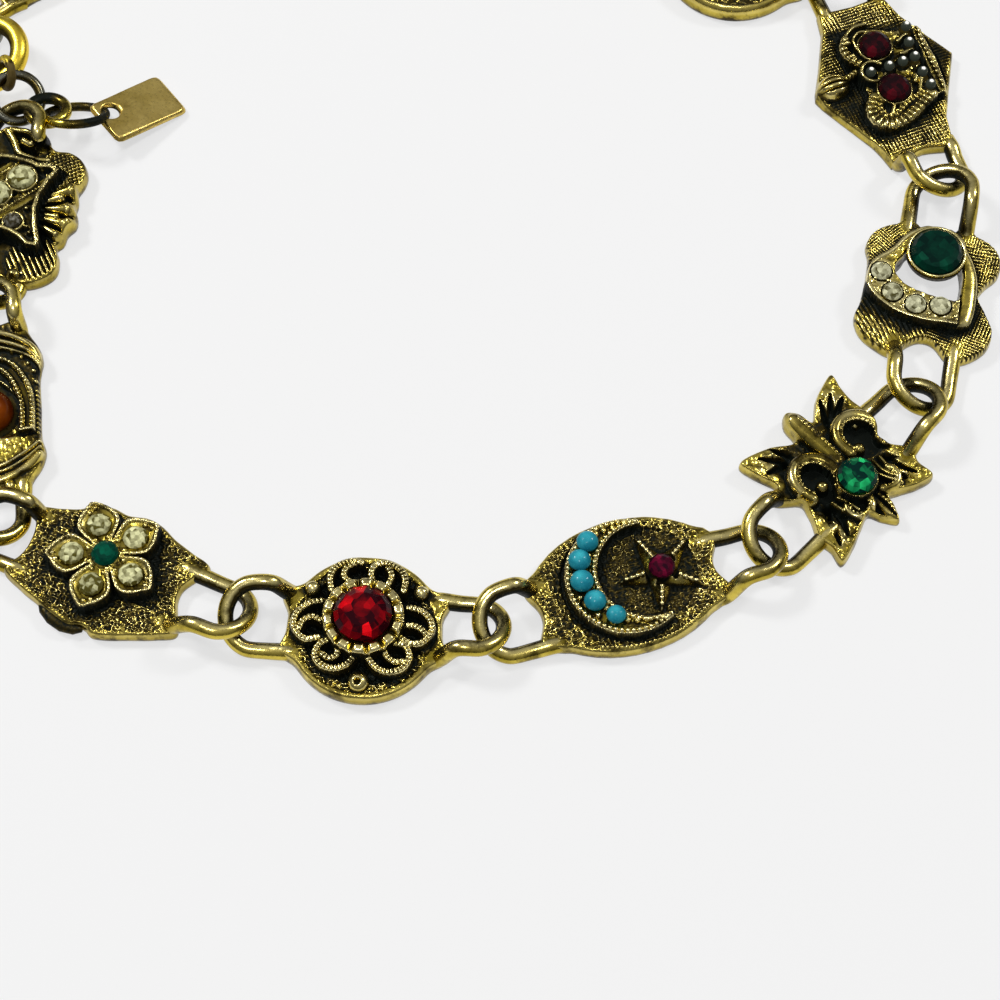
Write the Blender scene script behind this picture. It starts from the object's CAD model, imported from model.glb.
import bpy
import numpy as np
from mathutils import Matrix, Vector


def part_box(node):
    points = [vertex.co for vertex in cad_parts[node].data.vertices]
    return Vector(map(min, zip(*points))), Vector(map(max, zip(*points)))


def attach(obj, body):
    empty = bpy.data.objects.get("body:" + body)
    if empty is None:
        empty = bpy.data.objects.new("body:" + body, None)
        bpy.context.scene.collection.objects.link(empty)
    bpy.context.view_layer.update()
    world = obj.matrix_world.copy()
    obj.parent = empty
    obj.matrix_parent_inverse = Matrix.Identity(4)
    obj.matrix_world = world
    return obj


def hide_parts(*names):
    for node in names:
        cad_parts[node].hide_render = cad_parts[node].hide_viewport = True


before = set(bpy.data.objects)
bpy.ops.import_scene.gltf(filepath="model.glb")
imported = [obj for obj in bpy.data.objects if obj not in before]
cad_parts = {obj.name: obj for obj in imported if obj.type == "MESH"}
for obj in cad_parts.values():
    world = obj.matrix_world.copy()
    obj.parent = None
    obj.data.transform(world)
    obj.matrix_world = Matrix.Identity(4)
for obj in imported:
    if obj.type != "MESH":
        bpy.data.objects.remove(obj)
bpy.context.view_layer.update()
metre = 0.001                                   # the pieces below are worked out in millimetres

eye = {
    "wire": 0.48, "halfWidth": 1.9, "twist": 0.5, "reach": 0.56, "bendReach": 0.008, "spread": 1.03,
    "roots": [(-0.3, 0.45), (0.5, 0.6)],        # how far past the root, and the level there
    "straight": 1.45, "limbRadius": 0.5, "swell": 0.07, "swellReach": 0.16, "steps": 90, "sides": 20,
}
eyeLevel = eye["twist"] * eye["halfWidth"] + eye["wire"]
firstJoint = (-33.1, 29.3)

# Each link's pitch, the direction that it points in, and how far its two eyes reach into its plate.
links = {
    "link_lozenge": {"pitch": 14.22, "heading": -93.2, "tailRoot": 4.6, "headRoot": 4.9},
    "link_horseshoe": {"pitch": 16.96, "heading": -83.9, "tailRoot": 5.3, "headRoot": 5.2},
    "link_blossom": {"pitch": 16.99, "heading": -21.8, "tailRoot": 5.4, "headRoot": 4.0},
    "link_rosette": {"pitch": 15.85, "heading": -2.9, "tailRoot": 4.1, "headRoot": 4.1},
    "link_crescent": {"pitch": 18.05, "heading": 17.4, "tailRoot": 5.2, "headRoot": 5.2},
    "link_fleur": {"pitch": 15.04, "heading": 46.2, "tailRoot": 3.4, "headRoot": 3.4},
    "link_heart": {"pitch": 16.76, "heading": 80.3, "tailRoot": 4.0, "headRoot": 4.2},
    "link_crown": {"pitch": 18.79, "heading": 109.5, "tailRoot": 6.2, "headRoot": 6.0, "web": 0.5},
    "link_disc": {"pitch": 14.36, "heading": 167.9, "tailRoot": 4.3, "headRoot": 4.3},
    "link_oval": {"pitch": 17.3, "heading": 169.5, "tailRoot": 4.7, "headRoot": 4.7},
    "link_shield": {"pitch": 17.3, "heading": 177, "tailRoot": 4.7, "headRoot": 4.7},
    "link_cushion": {"pitch": 16.8, "heading": 216.4, "tailRoot": 4.6, "headRoot": 4.6},
}


def polar(radius, degrees):
    # radius * (cos a, sin a)
    angle = np.radians(degrees)
    return np.stack([radius * np.cos(angle), radius * np.sin(angle)], axis=-1)


def farFrom(x, y, place):
    # how far each place is from one point: hypot(x - px, y - py)
    return np.hypot(x - place[0], y - place[1])


def aimed(x, y, place, degrees):
    # along a bearing from the place and across it: u = dx cos a + dy sin a, v = dy cos a - dx sin a
    angle = np.radians(degrees)
    u = (x - place[0]) * np.cos(angle) + (y - place[1]) * np.sin(angle)
    v = -(x - place[0]) * np.sin(angle) + (y - place[1]) * np.cos(angle)
    return u, v


def walkChain():
    # each link starts at the joint where the one before it ended
    joint = np.array(firstJoint)
    rows = list(links.values())
    for index, row in enumerate(rows):
        step = polar(row["pitch"], row["heading"])
        row["middle"] = joint + step / 2
        before = rows[index - 1]["heading"] if index else row["heading"]
        after = rows[index + 1]["heading"] if index + 1 < len(rows) else row["heading"]
        row["bends"] = (abs(row["heading"] - before), abs(after - row["heading"]))
        joint = joint + step


def turnedInto(row, points):
    # turns plan points by the link's heading and moves them to the link's middle
    angle = np.radians(row["heading"])
    turned = points.copy()
    turned[:, 0] = row["middle"][0] + np.cos(angle) * points[:, 0] - np.sin(angle) * points[:, 1]
    turned[:, 1] = row["middle"][1] + np.sin(angle) * points[:, 0] + np.cos(angle) * points[:, 1]
    return turned


walkChain()
rubyPlace = (0, -0.25)                           # where the solid's ruby sits in its link
lowCorner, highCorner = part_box("rosette_stone")
stoneMiddle = (np.array(lowCorner) + np.array(highCorner))[:2] / 2 / metre
walked = turnedInto(links["link_rosette"], np.array([rubyPlace]))[0]
planShift = np.append(stoneMiddle - walked, 0)   # from the walked plan to the frame


def gridQuads(rows, columns, wrap=False):
    # quads between neighbouring rows; the last column meets the first when it wraps
    ends = columns if wrap else columns - 1
    row, column = np.meshgrid(np.arange(rows - 1), np.arange(ends), indexing="ij")
    following = (column + 1) % columns
    corners = [row * columns + column, row * columns + following,
               (row + 1) * columns + following, (row + 1) * columns + column]
    return np.stack(corners, axis=-1).reshape(-1, 4)


def fan(loop, pole):
    # triangles from a closed loop of vertices to one pole
    return np.stack([loop, np.roll(loop, -1), np.full(len(loop), pole)], axis=-1)


def shell(points, quads=None, triangles=None, dark=0.0, worn=0.0):
    # a closed surface with its faces turned outward, and how dark and how worn it is at each point
    quads = np.zeros((0, 4), int) if quads is None else quads
    triangles = np.zeros((0, 3), int) if triangles is None else triangles
    whole = np.concatenate([quads[:, [0, 1, 2]], quads[:, [0, 2, 3]], triangles])
    a, b, c = (points[whole[:, k]] for k in range(3))
    if np.einsum("ij,ij->i", a,
                 np.cross(b, c)).sum() < 0:   # a closed shell's volume tells which way it faces
        quads, triangles = quads[:, ::-1], triangles[:, ::-1]
    count = len(points)
    return {"points": points, "quads": quads, "triangles": triangles,
            "dark": np.broadcast_to(dark, count).astype(float),
            "worn": np.broadcast_to(worn, count).astype(float)}


def joinShells(shells):
    # one shell of several: the faces of each count on from the points of those before it
    start = np.cumsum([0] + [len(s["points"]) for s in shells])
    joined = {key: np.concatenate([s[key] for s in shells]) for key in ("points", "dark", "worn")}
    for key in ("quads", "triangles"):
        joined[key] = np.concatenate([s[key] + n for s, n in zip(shells, start)])
    return joined


def addPiece(name, parts, material, replaced=(), smooth=True, row=None):
    # one mesh of all the parts' shells, in metres and in the frame: (place in the plan + planShift) * metre
    whole = joinShells(parts)
    points = whole["points"] if row is None else turnedInto(row, whole["points"])
    points = (points + planShift) * metre
    corners = np.concatenate([whole["quads"].ravel(), whole["triangles"].ravel()])
    sizes = np.repeat([4, 3], [len(whole["quads"]), len(whole["triangles"])])
    mesh = bpy.data.meshes.new(name)
    mesh.vertices.add(len(points))
    mesh.vertices.foreach_set("co", points.ravel())
    mesh.loops.add(len(corners))
    mesh.loops.foreach_set("vertex_index", corners.astype(np.int32))
    mesh.polygons.add(len(sizes))
    mesh.polygons.foreach_set("loop_start", np.concatenate([[0], np.cumsum(sizes)[:-1]]).astype(np.int32))
    mesh.polygons.foreach_set("use_smooth", np.full(len(sizes), smooth))
    mesh.update(calc_edges=True)
    for key in ("dark", "worn"):
        mesh.attributes.new(key, "FLOAT", "POINT").data.foreach_set("value", whole[key])
    mesh.materials.append(material)
    piece = bpy.data.objects.new(name, mesh)
    bpy.context.scene.collection.objects.link(piece)
    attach(piece, "root")
    if replaced:
        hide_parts(*replaced)
    return piece


def smoothCurve(points, count, closed=False):
    # centripetal spline through the points: each stretch blends the lines between its four nearest points
    points = np.asarray(points, float)
    if closed:
        points = np.concatenate([points[-1:], points, points[:2]])
    else:
        points = np.concatenate([2 * points[:1] - points[1:2], points, 2 * points[-1:] - points[-2:-1]])
    gaps = np.sqrt(np.linalg.norm(np.diff(points, axis=0), axis=1))
    knots = np.concatenate([[0], np.cumsum(gaps)])
    wanted = np.linspace(knots[1], knots[-2], count + (1 if closed else 0))
    wanted = wanted[:-1] if closed else wanted
    k = np.clip(np.searchsorted(knots, wanted, side="right") - 1, 1, len(points) - 3)
    p = [points[k + i] for i in (-1, 0, 1, 2)]
    t = [knots[k + i] for i in (-1, 0, 1, 2)]

    def between(first, second, low, high):
        share = ((wanted - low) / (high - low))[:, None]
        return first * (1 - share) + second * share

    a = [between(p[i], p[i + 1], t[i], t[i + 1]) for i in range(3)]
    b = [between(a[i], a[i + 1], t[i], t[i + 2]) for i in range(2)]
    return between(b[0], b[1], t[1], t[2])


def sweptWire(path, radius, sides=14, up=(0, 0, 1), closed=False, flatten=1.0, dark=0.0, worn=0.0):
    # a round section carried along a path, with a pole at each open end:
    # path + radius * (cos a * side + sin a * lift)
    path = np.asarray(path, float)
    if closed:
        tangent = np.roll(path, -1, axis=0) - np.roll(path, 1, axis=0)
    else:
        tangent = np.gradient(path, axis=0)
    tangent /= np.linalg.norm(tangent, axis=1)[:, None]
    side = np.cross(tangent, np.asarray(up, float))
    side /= np.linalg.norm(side, axis=1)[:, None]
    lift = np.cross(side, tangent)
    around = np.linspace(0, 2 * np.pi, sides, endpoint=False)
    size = np.broadcast_to(radius, len(path))[:, None, None]
    section = np.cos(around)[None, :, None] * side[:, None] + flatten * np.sin(around)[None, :,
                                                                                       None] * lift[:, None]
    points = (path[:, None] + size * section).reshape(-1, 3)
    rows = len(path)
    darkness = np.broadcast_to(dark, (rows, sides)).ravel()
    wear = np.broadcast_to(worn, (rows, sides)).ravel()
    if closed:
        quads = gridQuads(rows + 1, sides, wrap=True) % (rows * sides)
        return shell(points, quads, None, darkness, wear)
    points = np.concatenate([points, path[:1], path[-1:]])
    ends = np.concatenate([fan(np.arange(sides), rows * sides),
                           fan(np.arange((rows - 1) * sides, rows * sides)[::-1], rows * sides + 1)])
    return shell(points, gridQuads(rows, sides, wrap=True), ends,
                 np.append(darkness, [0, 0]), np.append(wear, [0, 0]))


def wireRing(x, y, z, ring, wire, faceAzimuth, faceLift, darkAt=None, steps=72, sides=20):
    # a circle of round wire whose face looks along azimuth and lift: ring * (cos a * across + sin a * along)
    # from its middle; its inner side is dark, and so is the arc round darkAt
    azimuth, lift = np.radians(faceAzimuth), np.radians(faceLift)
    face = np.array([np.cos(lift) * np.cos(azimuth), np.cos(lift) * np.sin(azimuth), np.sin(lift)])
    across = np.array([-np.sin(azimuth), np.cos(azimuth), 0])
    along = np.cross(face, across)
    turn = np.linspace(0, 2 * np.pi, steps, endpoint=False)[:, None]
    path = np.array([x, y, z]) + ring * (np.cos(turn) * across + np.sin(turn) * along)
    around = np.linspace(0, 2 * np.pi, sides, endpoint=False)
    inward = np.clip(0.5 - 0.5 * np.cos(around), 0, 1) ** 3
    dark = 0.75 * inward[None, :]
    if darkAt is not None:
        bearing = np.arctan2(path[:, 1] - y, path[:, 0] - x)
        dark = np.maximum(dark, np.clip(0.3 + 0.9 * np.cos(bearing - np.radians(darkAt)), 0, 0.9)[:, None])
    return sweptWire(path, wire, sides, face, closed=True, dark=dark)


def eyeLoop(row, side):
    # a loop of wire: two limbs out of the plate, joined by a bow; it tilts, eyeLevel - side * twist * y,
    # so that one limb is lifted and the eyes of neighbours pass through each other
    root = row["tailRoot"] if side < 0 else row["headRoot"]
    bend = row["bends"][0 if side < 0 else 1]
    half, twist = eye["halfWidth"], eye["twist"]
    tip = row["pitch"] / 2 + eye["reach"] + eye["bendReach"] * bend
    bow = polar(half, np.arange(75, -76, -15))
    bow = np.column_stack([side * (tip - half + bow[:, 0]), bow[:, 1], eyeLevel - side * twist * bow[:, 1]])
    limbs = []
    for sign in (1, -1):
        roots = [[side * (root + past), sign * half * eye["spread"], level] for past, level in eye["roots"]]
        bowEnd = [side * (tip - eye["straight"] * half), sign * half, eyeLevel - side * twist * sign * half]
        limbs.append(roots + [bowEnd])
    path = smoothCurve(np.concatenate([limbs[0], bow, limbs[1][::-1]]), eye["steps"])
    sides = eye["sides"]
    around = np.linspace(0, 2 * np.pi, sides, endpoint=False)
    facing = side * np.cos(around)                               # 1 where the wire faces the eye's hole
    dark = np.clip(1.1 * facing - 0.5 * np.sin(around), 0, 1) + 0.5 * np.clip(-np.sin(around) - 0.1, 0, 1)
    worn = np.clip(np.sin(around + 0.3 * side), 0, 1) ** 5 * 0.8
    fromRoot = np.minimum(np.arange(len(path)), np.arange(len(path))[::-1]) / len(path)
    radius = eye["limbRadius"] + eye["swell"] * np.exp(-(fromRoot / eye["swellReach"]) ** 2)
    return sweptWire(path, radius, sides, dark=dark[None, :], worn=worn[None, :])


def lay(z, bump, level):
    # raised work stands on its level wherever it has any height
    return np.where(bump > 0, np.maximum(z, level + bump), z)


def ridge(distance, halfWidth, height, power=2):
    # height * sqrt(1 - |distance / halfWidth| ** power), flatter on top for a higher power
    return height * np.sqrt(np.clip(1 - np.abs(distance / halfWidth) ** power, 0, None))


def along(x, y, points, closed=False):
    # the distance to a line through the points, and how far along it the nearest place is
    points = np.asarray(points, float)
    if closed:
        points = np.concatenate([points, points[:1]])
    near = np.full(x.shape, 1e9)
    where = np.zeros(x.shape)
    run = 0.0
    for start, end in zip(points[:-1], points[1:]):
        step = end - start
        length = max(np.hypot(*step), 1e-9)
        share = np.clip(((x - start[0]) * step[0] + (y - start[1]) * step[1]) / length ** 2, 0, 1)
        distance = np.hypot(x - start[0] - share * step[0], y - start[1] - share * step[1])
        closer = distance < near
        near = np.where(closer, distance, near)
        where = np.where(closer, run + share * length, where)
        run += length
    return near, where


def curl(place, radius, start, end, squash=1.0):
    # points on a circular or oval arc: place + radius * (cos a, squash * sin a)
    turns = np.linspace(start, end, max(int(abs(end - start) / 25), 3))
    return np.asarray(place) + polar(radius, turns) * [1, squash]


def wireOn(z, x, y, points, width, height, level, notch=0.0, depth=0.5, power=2, narrow=4, closed=False,
           finer=5):
    # a wire laid along a smooth curve, with a notch cut across it every so often:
    # its height falls by depth * cos(pi * where / notch) ** (2 * narrow)
    line = smoothCurve(points, finer * len(points), closed)
    distance, where = along(x, y, line, closed)
    bump = ridge(distance, width, height, power)
    if notch:
        bump = bump * (1 - depth * (0.5 + 0.5 * np.cos(2 * np.pi * where / notch)) ** narrow)
    return lay(z, bump, level)


def beadsOn(z, x, y, points, spacing, radius, height, level, closed=False, finer=5):
    # a row of small domes, one in each stretch of a smooth curve
    line = smoothCurve(points, finer * len(points), closed)
    distance, where = along(x, y, line, closed)
    local = (where / spacing) % 1 * spacing - spacing / 2
    return lay(z, ridge(np.hypot(distance, local), radius, height), level)


def domesOn(z, x, y, places, radius, height, level):
    # a dome at each place: level + height * sqrt(1 - (distance / radius) ** 2)
    for place in places:
        z = lay(z, ridge(farFrom(x, y, place), radius, height), level)
    return z


def collarOn(z, x, y, place, radius, wall, height, level):
    # a raised ring of wall, level + ridge(distance - radius), round a stone, with a hollow floor inside it
    distance = farFrom(x, y, place)
    z = np.where(distance < radius, np.minimum(z, level - 0.05), z)
    return lay(z, ridge(distance - radius, wall, height), level)


def within(x, y, points):
    # the signed distance to a closed outline, negative inside it
    points = np.asarray(points, float)
    distance, _ = along(x, y, points, closed=True)
    inside = np.zeros(x.shape, bool)
    for start, end in zip(points, np.roll(points, -1, axis=0)):
        crosses = (start[1] > y) != (end[1] > y)
        rise = np.where(crosses, end[1] - start[1], 1)
        inside ^= crosses & (x < (end[0] - start[0]) * (y - start[1]) / rise + start[0])
    return np.where(inside, -distance, distance)


def plateau(z, signed, level, bevel):
    # a flat top with a rounded edge of the bevel's width: level - bevel * (1 - sqrt(1 - (1 - share) ** 2))
    share = np.clip(-signed / bevel, 0, 1)
    return np.where(signed < 0, np.maximum(z, level - bevel * (1 - np.sqrt(1 - (1 - share) ** 2))), z)


def lattice(i, j, seed):
    # a number from 0 to 1 for each corner of the lattice: the fraction of |sin(a i + b j + c seed)| * d
    return np.modf(np.abs(np.sin(i * 12.9898 + j * 78.233 + seed * 3.7) * 43758.5453))[0]


def speckle(x, y, size, seed=1, stretch=1.0):
    # smooth noise between random numbers on a square lattice, from -0.5 to 0.5
    x, y = x / size / stretch, y / size
    i, j = np.floor(x), np.floor(y)
    u, v = x - i, y - j
    u, v = u * u * (3 - 2 * u), v * v * (3 - 2 * v)
    low = lattice(i, j, seed) * (1 - u) + lattice(i + 1, j, seed) * u
    high = lattice(i, j + 1, seed) * (1 - u) + lattice(i + 1, j + 1, seed) * u
    return low * (1 - v) + high * v - 0.5


def stipple(x, y, seed=1, depth=0.16, size=0.24):
    # the crisp squiggles of a punched ground: depth * ((1 - 2 |noise|) ** 3 - 0.4), and some of a finer noise
    squiggles = (1 - 2 * np.abs(speckle(x, y, size, seed, 1.3))) ** 3
    return depth * (squiggles - 0.4) + 0.7 * depth * speckle(x, y, size * 0.7, seed + 5)


def grooves(x, y, degrees, spacing, depth, bend=0.0):
    # parallel cuts across one direction, slightly bent: -depth * cos(pi * across / spacing) ** 6
    angle = np.radians(degrees)
    across = x * np.sin(angle) - y * np.cos(angle) + bend * (x * x + y * y)
    return -depth * (0.5 + 0.5 * np.cos(2 * np.pi * across / spacing)) ** 3


def blurred(z, sigma):
    # each height becomes the mean of those round it, weighed by exp(-0.5 * (steps / sigma) ** 2)
    reach = int(3 * sigma) + 1
    weights = np.exp(-0.5 * (np.arange(-reach, reach + 1) / sigma) ** 2)
    weights /= weights.sum()
    for axis in (0, 1):
        padded = np.pad(z, [(reach, reach) if k == axis else (0, 0) for k in (0, 1)], mode="edge")
        z = np.lib.stride_tricks.sliding_window_view(padded, len(weights), axis=axis) @ weights
    return z


plate = {
    "edgeRound": 0.26, "web": 1.1, "webSide": 1.95, "webAngle": 0.15, "curveSteps": 900, "lineSteps": 1600,
    "polishFrom": 1.4, "polishWidth": 0.3, "polishBlur": 0.3,
    "flareLevel": 1.12, "flareWidth": 0.5, "flareFrom": (-0.7, 2.1), "flareTo": (1.3, 1.95),
}


def limbPlaces(row, past, aside):
    # four places in a link's plate, one for each limb of its two eyes: (side * (root + past), sign * aside)
    return [(side * (row[root] + past), sign * aside)
            for side, root in ((-1, "tailRoot"), (1, "headRoot")) for sign in (-1, 1)]


def websOf(row):
    # the small webs where the limbs of a link's eyes leave its plate, none for a plate without eyes
    return [] if row is None else limbPlaces(row, row.get("web", plate["web"]), plate["webSide"])


def outlineRadius(points, centre, smooth, webs):
    # how far the outline is from the centre in each direction, with small webs where the limbs leave it:
    # length + missing * exp(-(angle from the web / webAngle) ** 2)
    ring = smoothCurve(points, plate["curveSteps"], closed=True) if smooth else np.asarray(points, float)
    if not smooth:
        ring = np.concatenate([ring, ring[:1]])
        run = np.concatenate([[0], np.cumsum(np.hypot(*np.diff(ring, axis=0).T))])
        wanted = np.linspace(0, run[-1], plate["lineSteps"], endpoint=False)
        ring = np.column_stack([np.interp(wanted, run, ring[:, k]) for k in range(2)])
    offset = ring - centre
    angles = np.arctan2(offset[:, 1], offset[:, 0])
    order = np.argsort(angles)
    angles, lengths = angles[order], np.hypot(*offset.T)[order]

    def reach(theta):
        length = np.interp(theta, angles, lengths, period=2 * np.pi)
        for web in webs:
            at = np.arctan2(web[1] - centre[1], web[0] - centre[0])
            missing = max(farFrom(*web, centre) - np.interp(at, angles, lengths, period=2 * np.pi), 0)
            apart = np.angle(np.exp(1j * (theta - at)))
            length = length + missing * np.exp(-(apart / plate["webAngle"]) ** 2)
        return length

    return reach


patina = {
    "nearBlur": 0.06, "farBlur": 0.3, "ground": 1.12, "groundDepth": 0.2, "nearDepth": 0.06, "farDepth": 0.34,
    "nearDark": 0.45, "nearWorn": 0.6, "farWorn": 0.9, "steepFrom": 1.6, "steepTo": 5.0, "wall": 0.65,
    "wallWorn": 0.6,
}


def shading(z, spacing, soot=0.5):
    # patina settles low and on steep walls, and the high spots are rubbed bright: each share is how far
    # the height is below or above its blurred self, over a depth
    near, far = blurred(z, patina["nearBlur"] / spacing), blurred(z, patina["farBlur"] / spacing)
    steep = np.hypot(*np.gradient(z)) / spacing
    wall = np.clip((steep - patina["steepFrom"]) / (patina["steepTo"] - patina["steepFrom"]), 0, 1)
    above, high = (z - near) / patina["nearDepth"], (z - far) / patina["farDepth"]
    below, low = (near - z) / patina["nearDepth"], (far - z) / patina["farDepth"]
    dark = patina["nearDark"] * np.clip(below, 0, 1) + np.clip(low, 0, 1) + patina["wall"] * wall
    dark = dark + soot * np.clip((patina["ground"] - z) / patina["groundDepth"], 0, 1)
    worn = np.clip(above, 0, 1) * patina["nearWorn"] + np.clip(high, 0, 1) * patina["farWorn"]
    return np.clip(dark, 0, 1), np.clip(worn - patina["wallWorn"] * wall, 0, 1)


def flared(z, x, y, row):
    # the plate swells smoothly where the limbs of its eyes leave it:
    # its ground moves to flareLevel by exp(-(distance to the limb / flareWidth) ** 2)
    for limb in zip(limbPlaces(row, *plate["flareFrom"]), limbPlaces(row, *plate["flareTo"])):
        distance, where = along(x, y, limb)
        share = np.exp(-(distance / plate["flareWidth"]) ** 2) * np.clip(where / 0.9, 0, 1)
        share = share * np.clip((1.4 - z) / 0.15, 0, 1) * np.clip((z - 0.8) / 0.15, 0, 1)
        z = z + (plate["flareLevel"] - z) * share
    return z


def edgeRoll(z, fromEdge):
    # rounds a plate's edge: z - edgeRound * (1 - sqrt(1 - (1 - share) ** 2))
    share = np.clip(fromEdge / plate["edgeRound"], 0, 1)
    return z - plate["edgeRound"] * (1 - np.sqrt(1 - (1 - share) ** 2))


# A plate's side from the top down: outward step, share of height, patina. Its back: share across, patina.
plateSide = [(0.04, 0.8, 0.12), (0.06, 0.5, 0.2), (0.04, 0.25, 0.4), (-0.03, 0.07, 0.7), (-0.15, 0.0, 0.6)]
plateBack = [(0.7, 0.3), (0.35, 0.3)]


def casting(points, centre, height, row, count, smooth=True, polish=1.0, dull=0.0):
    # a square grid is made round, (u sqrt(1 - v v / 2), v sqrt(1 - u u / 2)), drawn out to the outline,
    # lifted by the relief, and closed by a rounded side and a flat back; dull is more patina
    centre = np.asarray(centre, float)
    line = np.linspace(-1, 1, count)
    u, v = np.meshgrid(line, line)
    x, y = u * np.sqrt(1 - v * v / 2), v * np.sqrt(1 - u * u / 2)
    share, theta = np.hypot(x, y), np.arctan2(y, x)
    reach = outlineRadius(points, centre, smooth, websOf(row))(theta)
    x = centre[0] + reach * share * np.cos(theta)
    y = centre[1] + reach * share * np.sin(theta)
    z = flared(height(x, y), x, y, row)
    spacing = np.mean(reach) * 2 / count
    edgeShare = plate["polishFrom"] - reach * (1 - share) / plate["polishWidth"]
    polished = polish * np.clip(edgeShare, 0, 1)                 # the plate's edge is rubbed smooth
    z = z + (blurred(z, plate["polishBlur"] / spacing) - z) * polished
    dark, worn = shading(z, spacing)
    dark, worn = dark * (1 - 0.75 * polished), np.maximum(worn, 0.25 * polished)
    duller = dull(x, y) if callable(dull) else dull
    dark, worn = dark + duller, worn * (1 - 2 * duller)
    z = edgeRoll(z, reach * (1 - share))
    top = np.column_stack([x.ravel(), y.ravel(), z.ravel()])
    index = np.arange(count * count).reshape(count, count)
    rim = np.concatenate([index[0, :-1], index[:-1, -1], index[-1, :0:-1], index[:0:-1, 0]])
    edge = top[rim]
    ahead = np.roll(edge, -1, axis=0) - np.roll(edge, 1, axis=0)
    length = np.maximum(np.hypot(ahead[:, 0], ahead[:, 1]), 1e-6)
    outward = np.column_stack([ahead[:, 1], -ahead[:, 0]]) / length[:, None]
    loops = [np.column_stack([edge[:, :2] + step * outward, edge[:, 2] * part])
             for step, part, _ in plateSide]
    foot = loops[-1][:, :2] - centre
    loops += [np.column_stack([centre + foot * part, np.zeros(len(rim))]) for part, _ in plateBack]
    everyPoint = np.concatenate([top] + loops + [[[*centre, 0.0]]])
    starts = count * count + len(rim) * np.arange(len(loops))
    rings = np.concatenate([[rim], starts[:, None] + np.arange(len(rim))])
    quads = [gridQuads(count, count)]
    for upper, lower in zip(rings[:-1], rings[1:]):
        quads.append(np.stack([upper, lower, np.roll(lower, -1), np.roll(upper, -1)], axis=-1))
    below = np.repeat([stain for *_, stain in plateSide + plateBack], len(rim))
    return shell(everyPoint, np.concatenate(quads), fan(rings[-1], len(everyPoint) - 1),
                 np.concatenate([dark.ravel(), below, [0.3]]), np.concatenate([worn.ravel(), below * 0, [0]]))


# An open plate's underside, from the outer edge to the opening: share across, outward step, share of height
# and patina.
openSide = [(1, 0.04, 0.7, 0.1), (1, 0.05, 0.35, 0.2), (1, -0.02, 0.08, 0.5), (1, -0.15, 0.0, 0.7),
            (0.5, 0.0, 0.0, 0.5), (0, 0.1, 0.0, 0.6), (0, -0.03, 0.1, 0.7), (0, -0.03, 0.5, 0.6),
            (0, -0.01, 0.85, 0.4)]


def openCasting(outer, inner, centre, height, row=None, around=600, across=110, smooth=True, soot=0.65):
    # like a casting, but drawn from the outline of an opening to an outer one and closed like a tyre:
    # inside + (outside - inside) * share
    centre = np.asarray(centre, float)
    theta = np.linspace(0, 2 * np.pi, around, endpoint=False)
    inside = outlineRadius(inner, centre, True, [])(theta)
    outside = outlineRadius(outer, centre, smooth, websOf(row))(theta)
    share = np.linspace(0, 1, across)[:, None]
    reach = inside + (outside - inside) * share
    x, y = centre[0] + reach * np.cos(theta), centre[1] + reach * np.sin(theta)
    fromEdge = np.minimum((outside - inside) * (1 - share), (outside - inside) * share * 1.6)
    z = height(x, y) if row is None else flared(height(x, y), x, y, row)
    lap = 60                                                     # the blurs run on past the seam
    wide = np.concatenate([z[:, -lap:], z, z[:, :lap]], axis=1)
    dark, worn = (part[:, lap:-lap] for part in shading(wide, np.mean(outside - inside) / across, soot))
    z = edgeRoll(z, fromEdge)
    loops = []
    for part, step, level, _ in openSide:
        length = inside + (outside - inside) * part + step
        lip = np.where(part > 0.5, z[-1], z[0]) * level
        plan = centre + length[:, None] * np.column_stack([np.cos(theta), np.sin(theta)])
        loops.append(np.column_stack([plan, lip]))
    points = np.concatenate([np.column_stack([x.ravel(), y.ravel(), z.ravel()])] + loops)
    total = across + len(openSide)
    below = np.repeat([stain for *_, stain in openSide], around)
    return shell(points, gridQuads(total + 1, around, wrap=True) % (total * around), None,
                 np.concatenate([dark.ravel(), below]), np.concatenate([worn.ravel(), below * 0]))


def turned(profile, place, sides=48, dark=0.0, worn=0.0):
    # a lathe-turned solid: rows of (radius, height) from the bottom to the top, closed by a pole at each end
    profile = np.asarray(profile, float)
    around = np.linspace(0, 2 * np.pi, sides, endpoint=False)
    x = place[0] + profile[:, :1] * np.cos(around)
    y = place[1] + profile[:, :1] * np.sin(around)
    z = np.repeat(profile[:, 1:2], sides, axis=1)
    points = np.column_stack([x.ravel(), y.ravel(), z.ravel()])
    poles = [[*place, profile[0, 1]], [*place, profile[-1, 1]]]
    count = len(points)
    ends = np.concatenate([fan(np.arange(sides), count),
                           fan(np.arange(count - sides, count)[::-1], count + 1)])
    darkness = np.repeat(np.broadcast_to(dark, len(profile)), sides)
    wear = np.repeat(np.broadcast_to(worn, len(profile)), sides)
    return shell(np.concatenate([points, poles]), gridQuads(len(profile), sides, wrap=True), ends,
                 np.append(darkness, [darkness[0], darkness[-1]]), np.append(wear, [wear[0], wear[-1]]))


def cabochon(place, bottom, radius, height, sides=28):
    # a domed stone: (radius * cos t, bottom + height * sin t)
    turns = np.radians([0, 15, 30, 45, 60, 72, 82, 89.5])
    profile = [(radius * 0.9, bottom - 0.1)] + [(radius * np.cos(t),
                                                 bottom + height * np.sin(t)) for t in turns]
    return turned(profile, place, sides)


def ball(place, middle, radius, sides=16):
    # a round pearl: (radius * cos t, middle + radius * sin t)
    turns = np.radians([-89, -75, -50, -20, 10, 35, 60, 78, 89])
    return turned([(radius * np.cos(t), middle + radius * np.sin(t)) for t in turns], place, sides)


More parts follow.
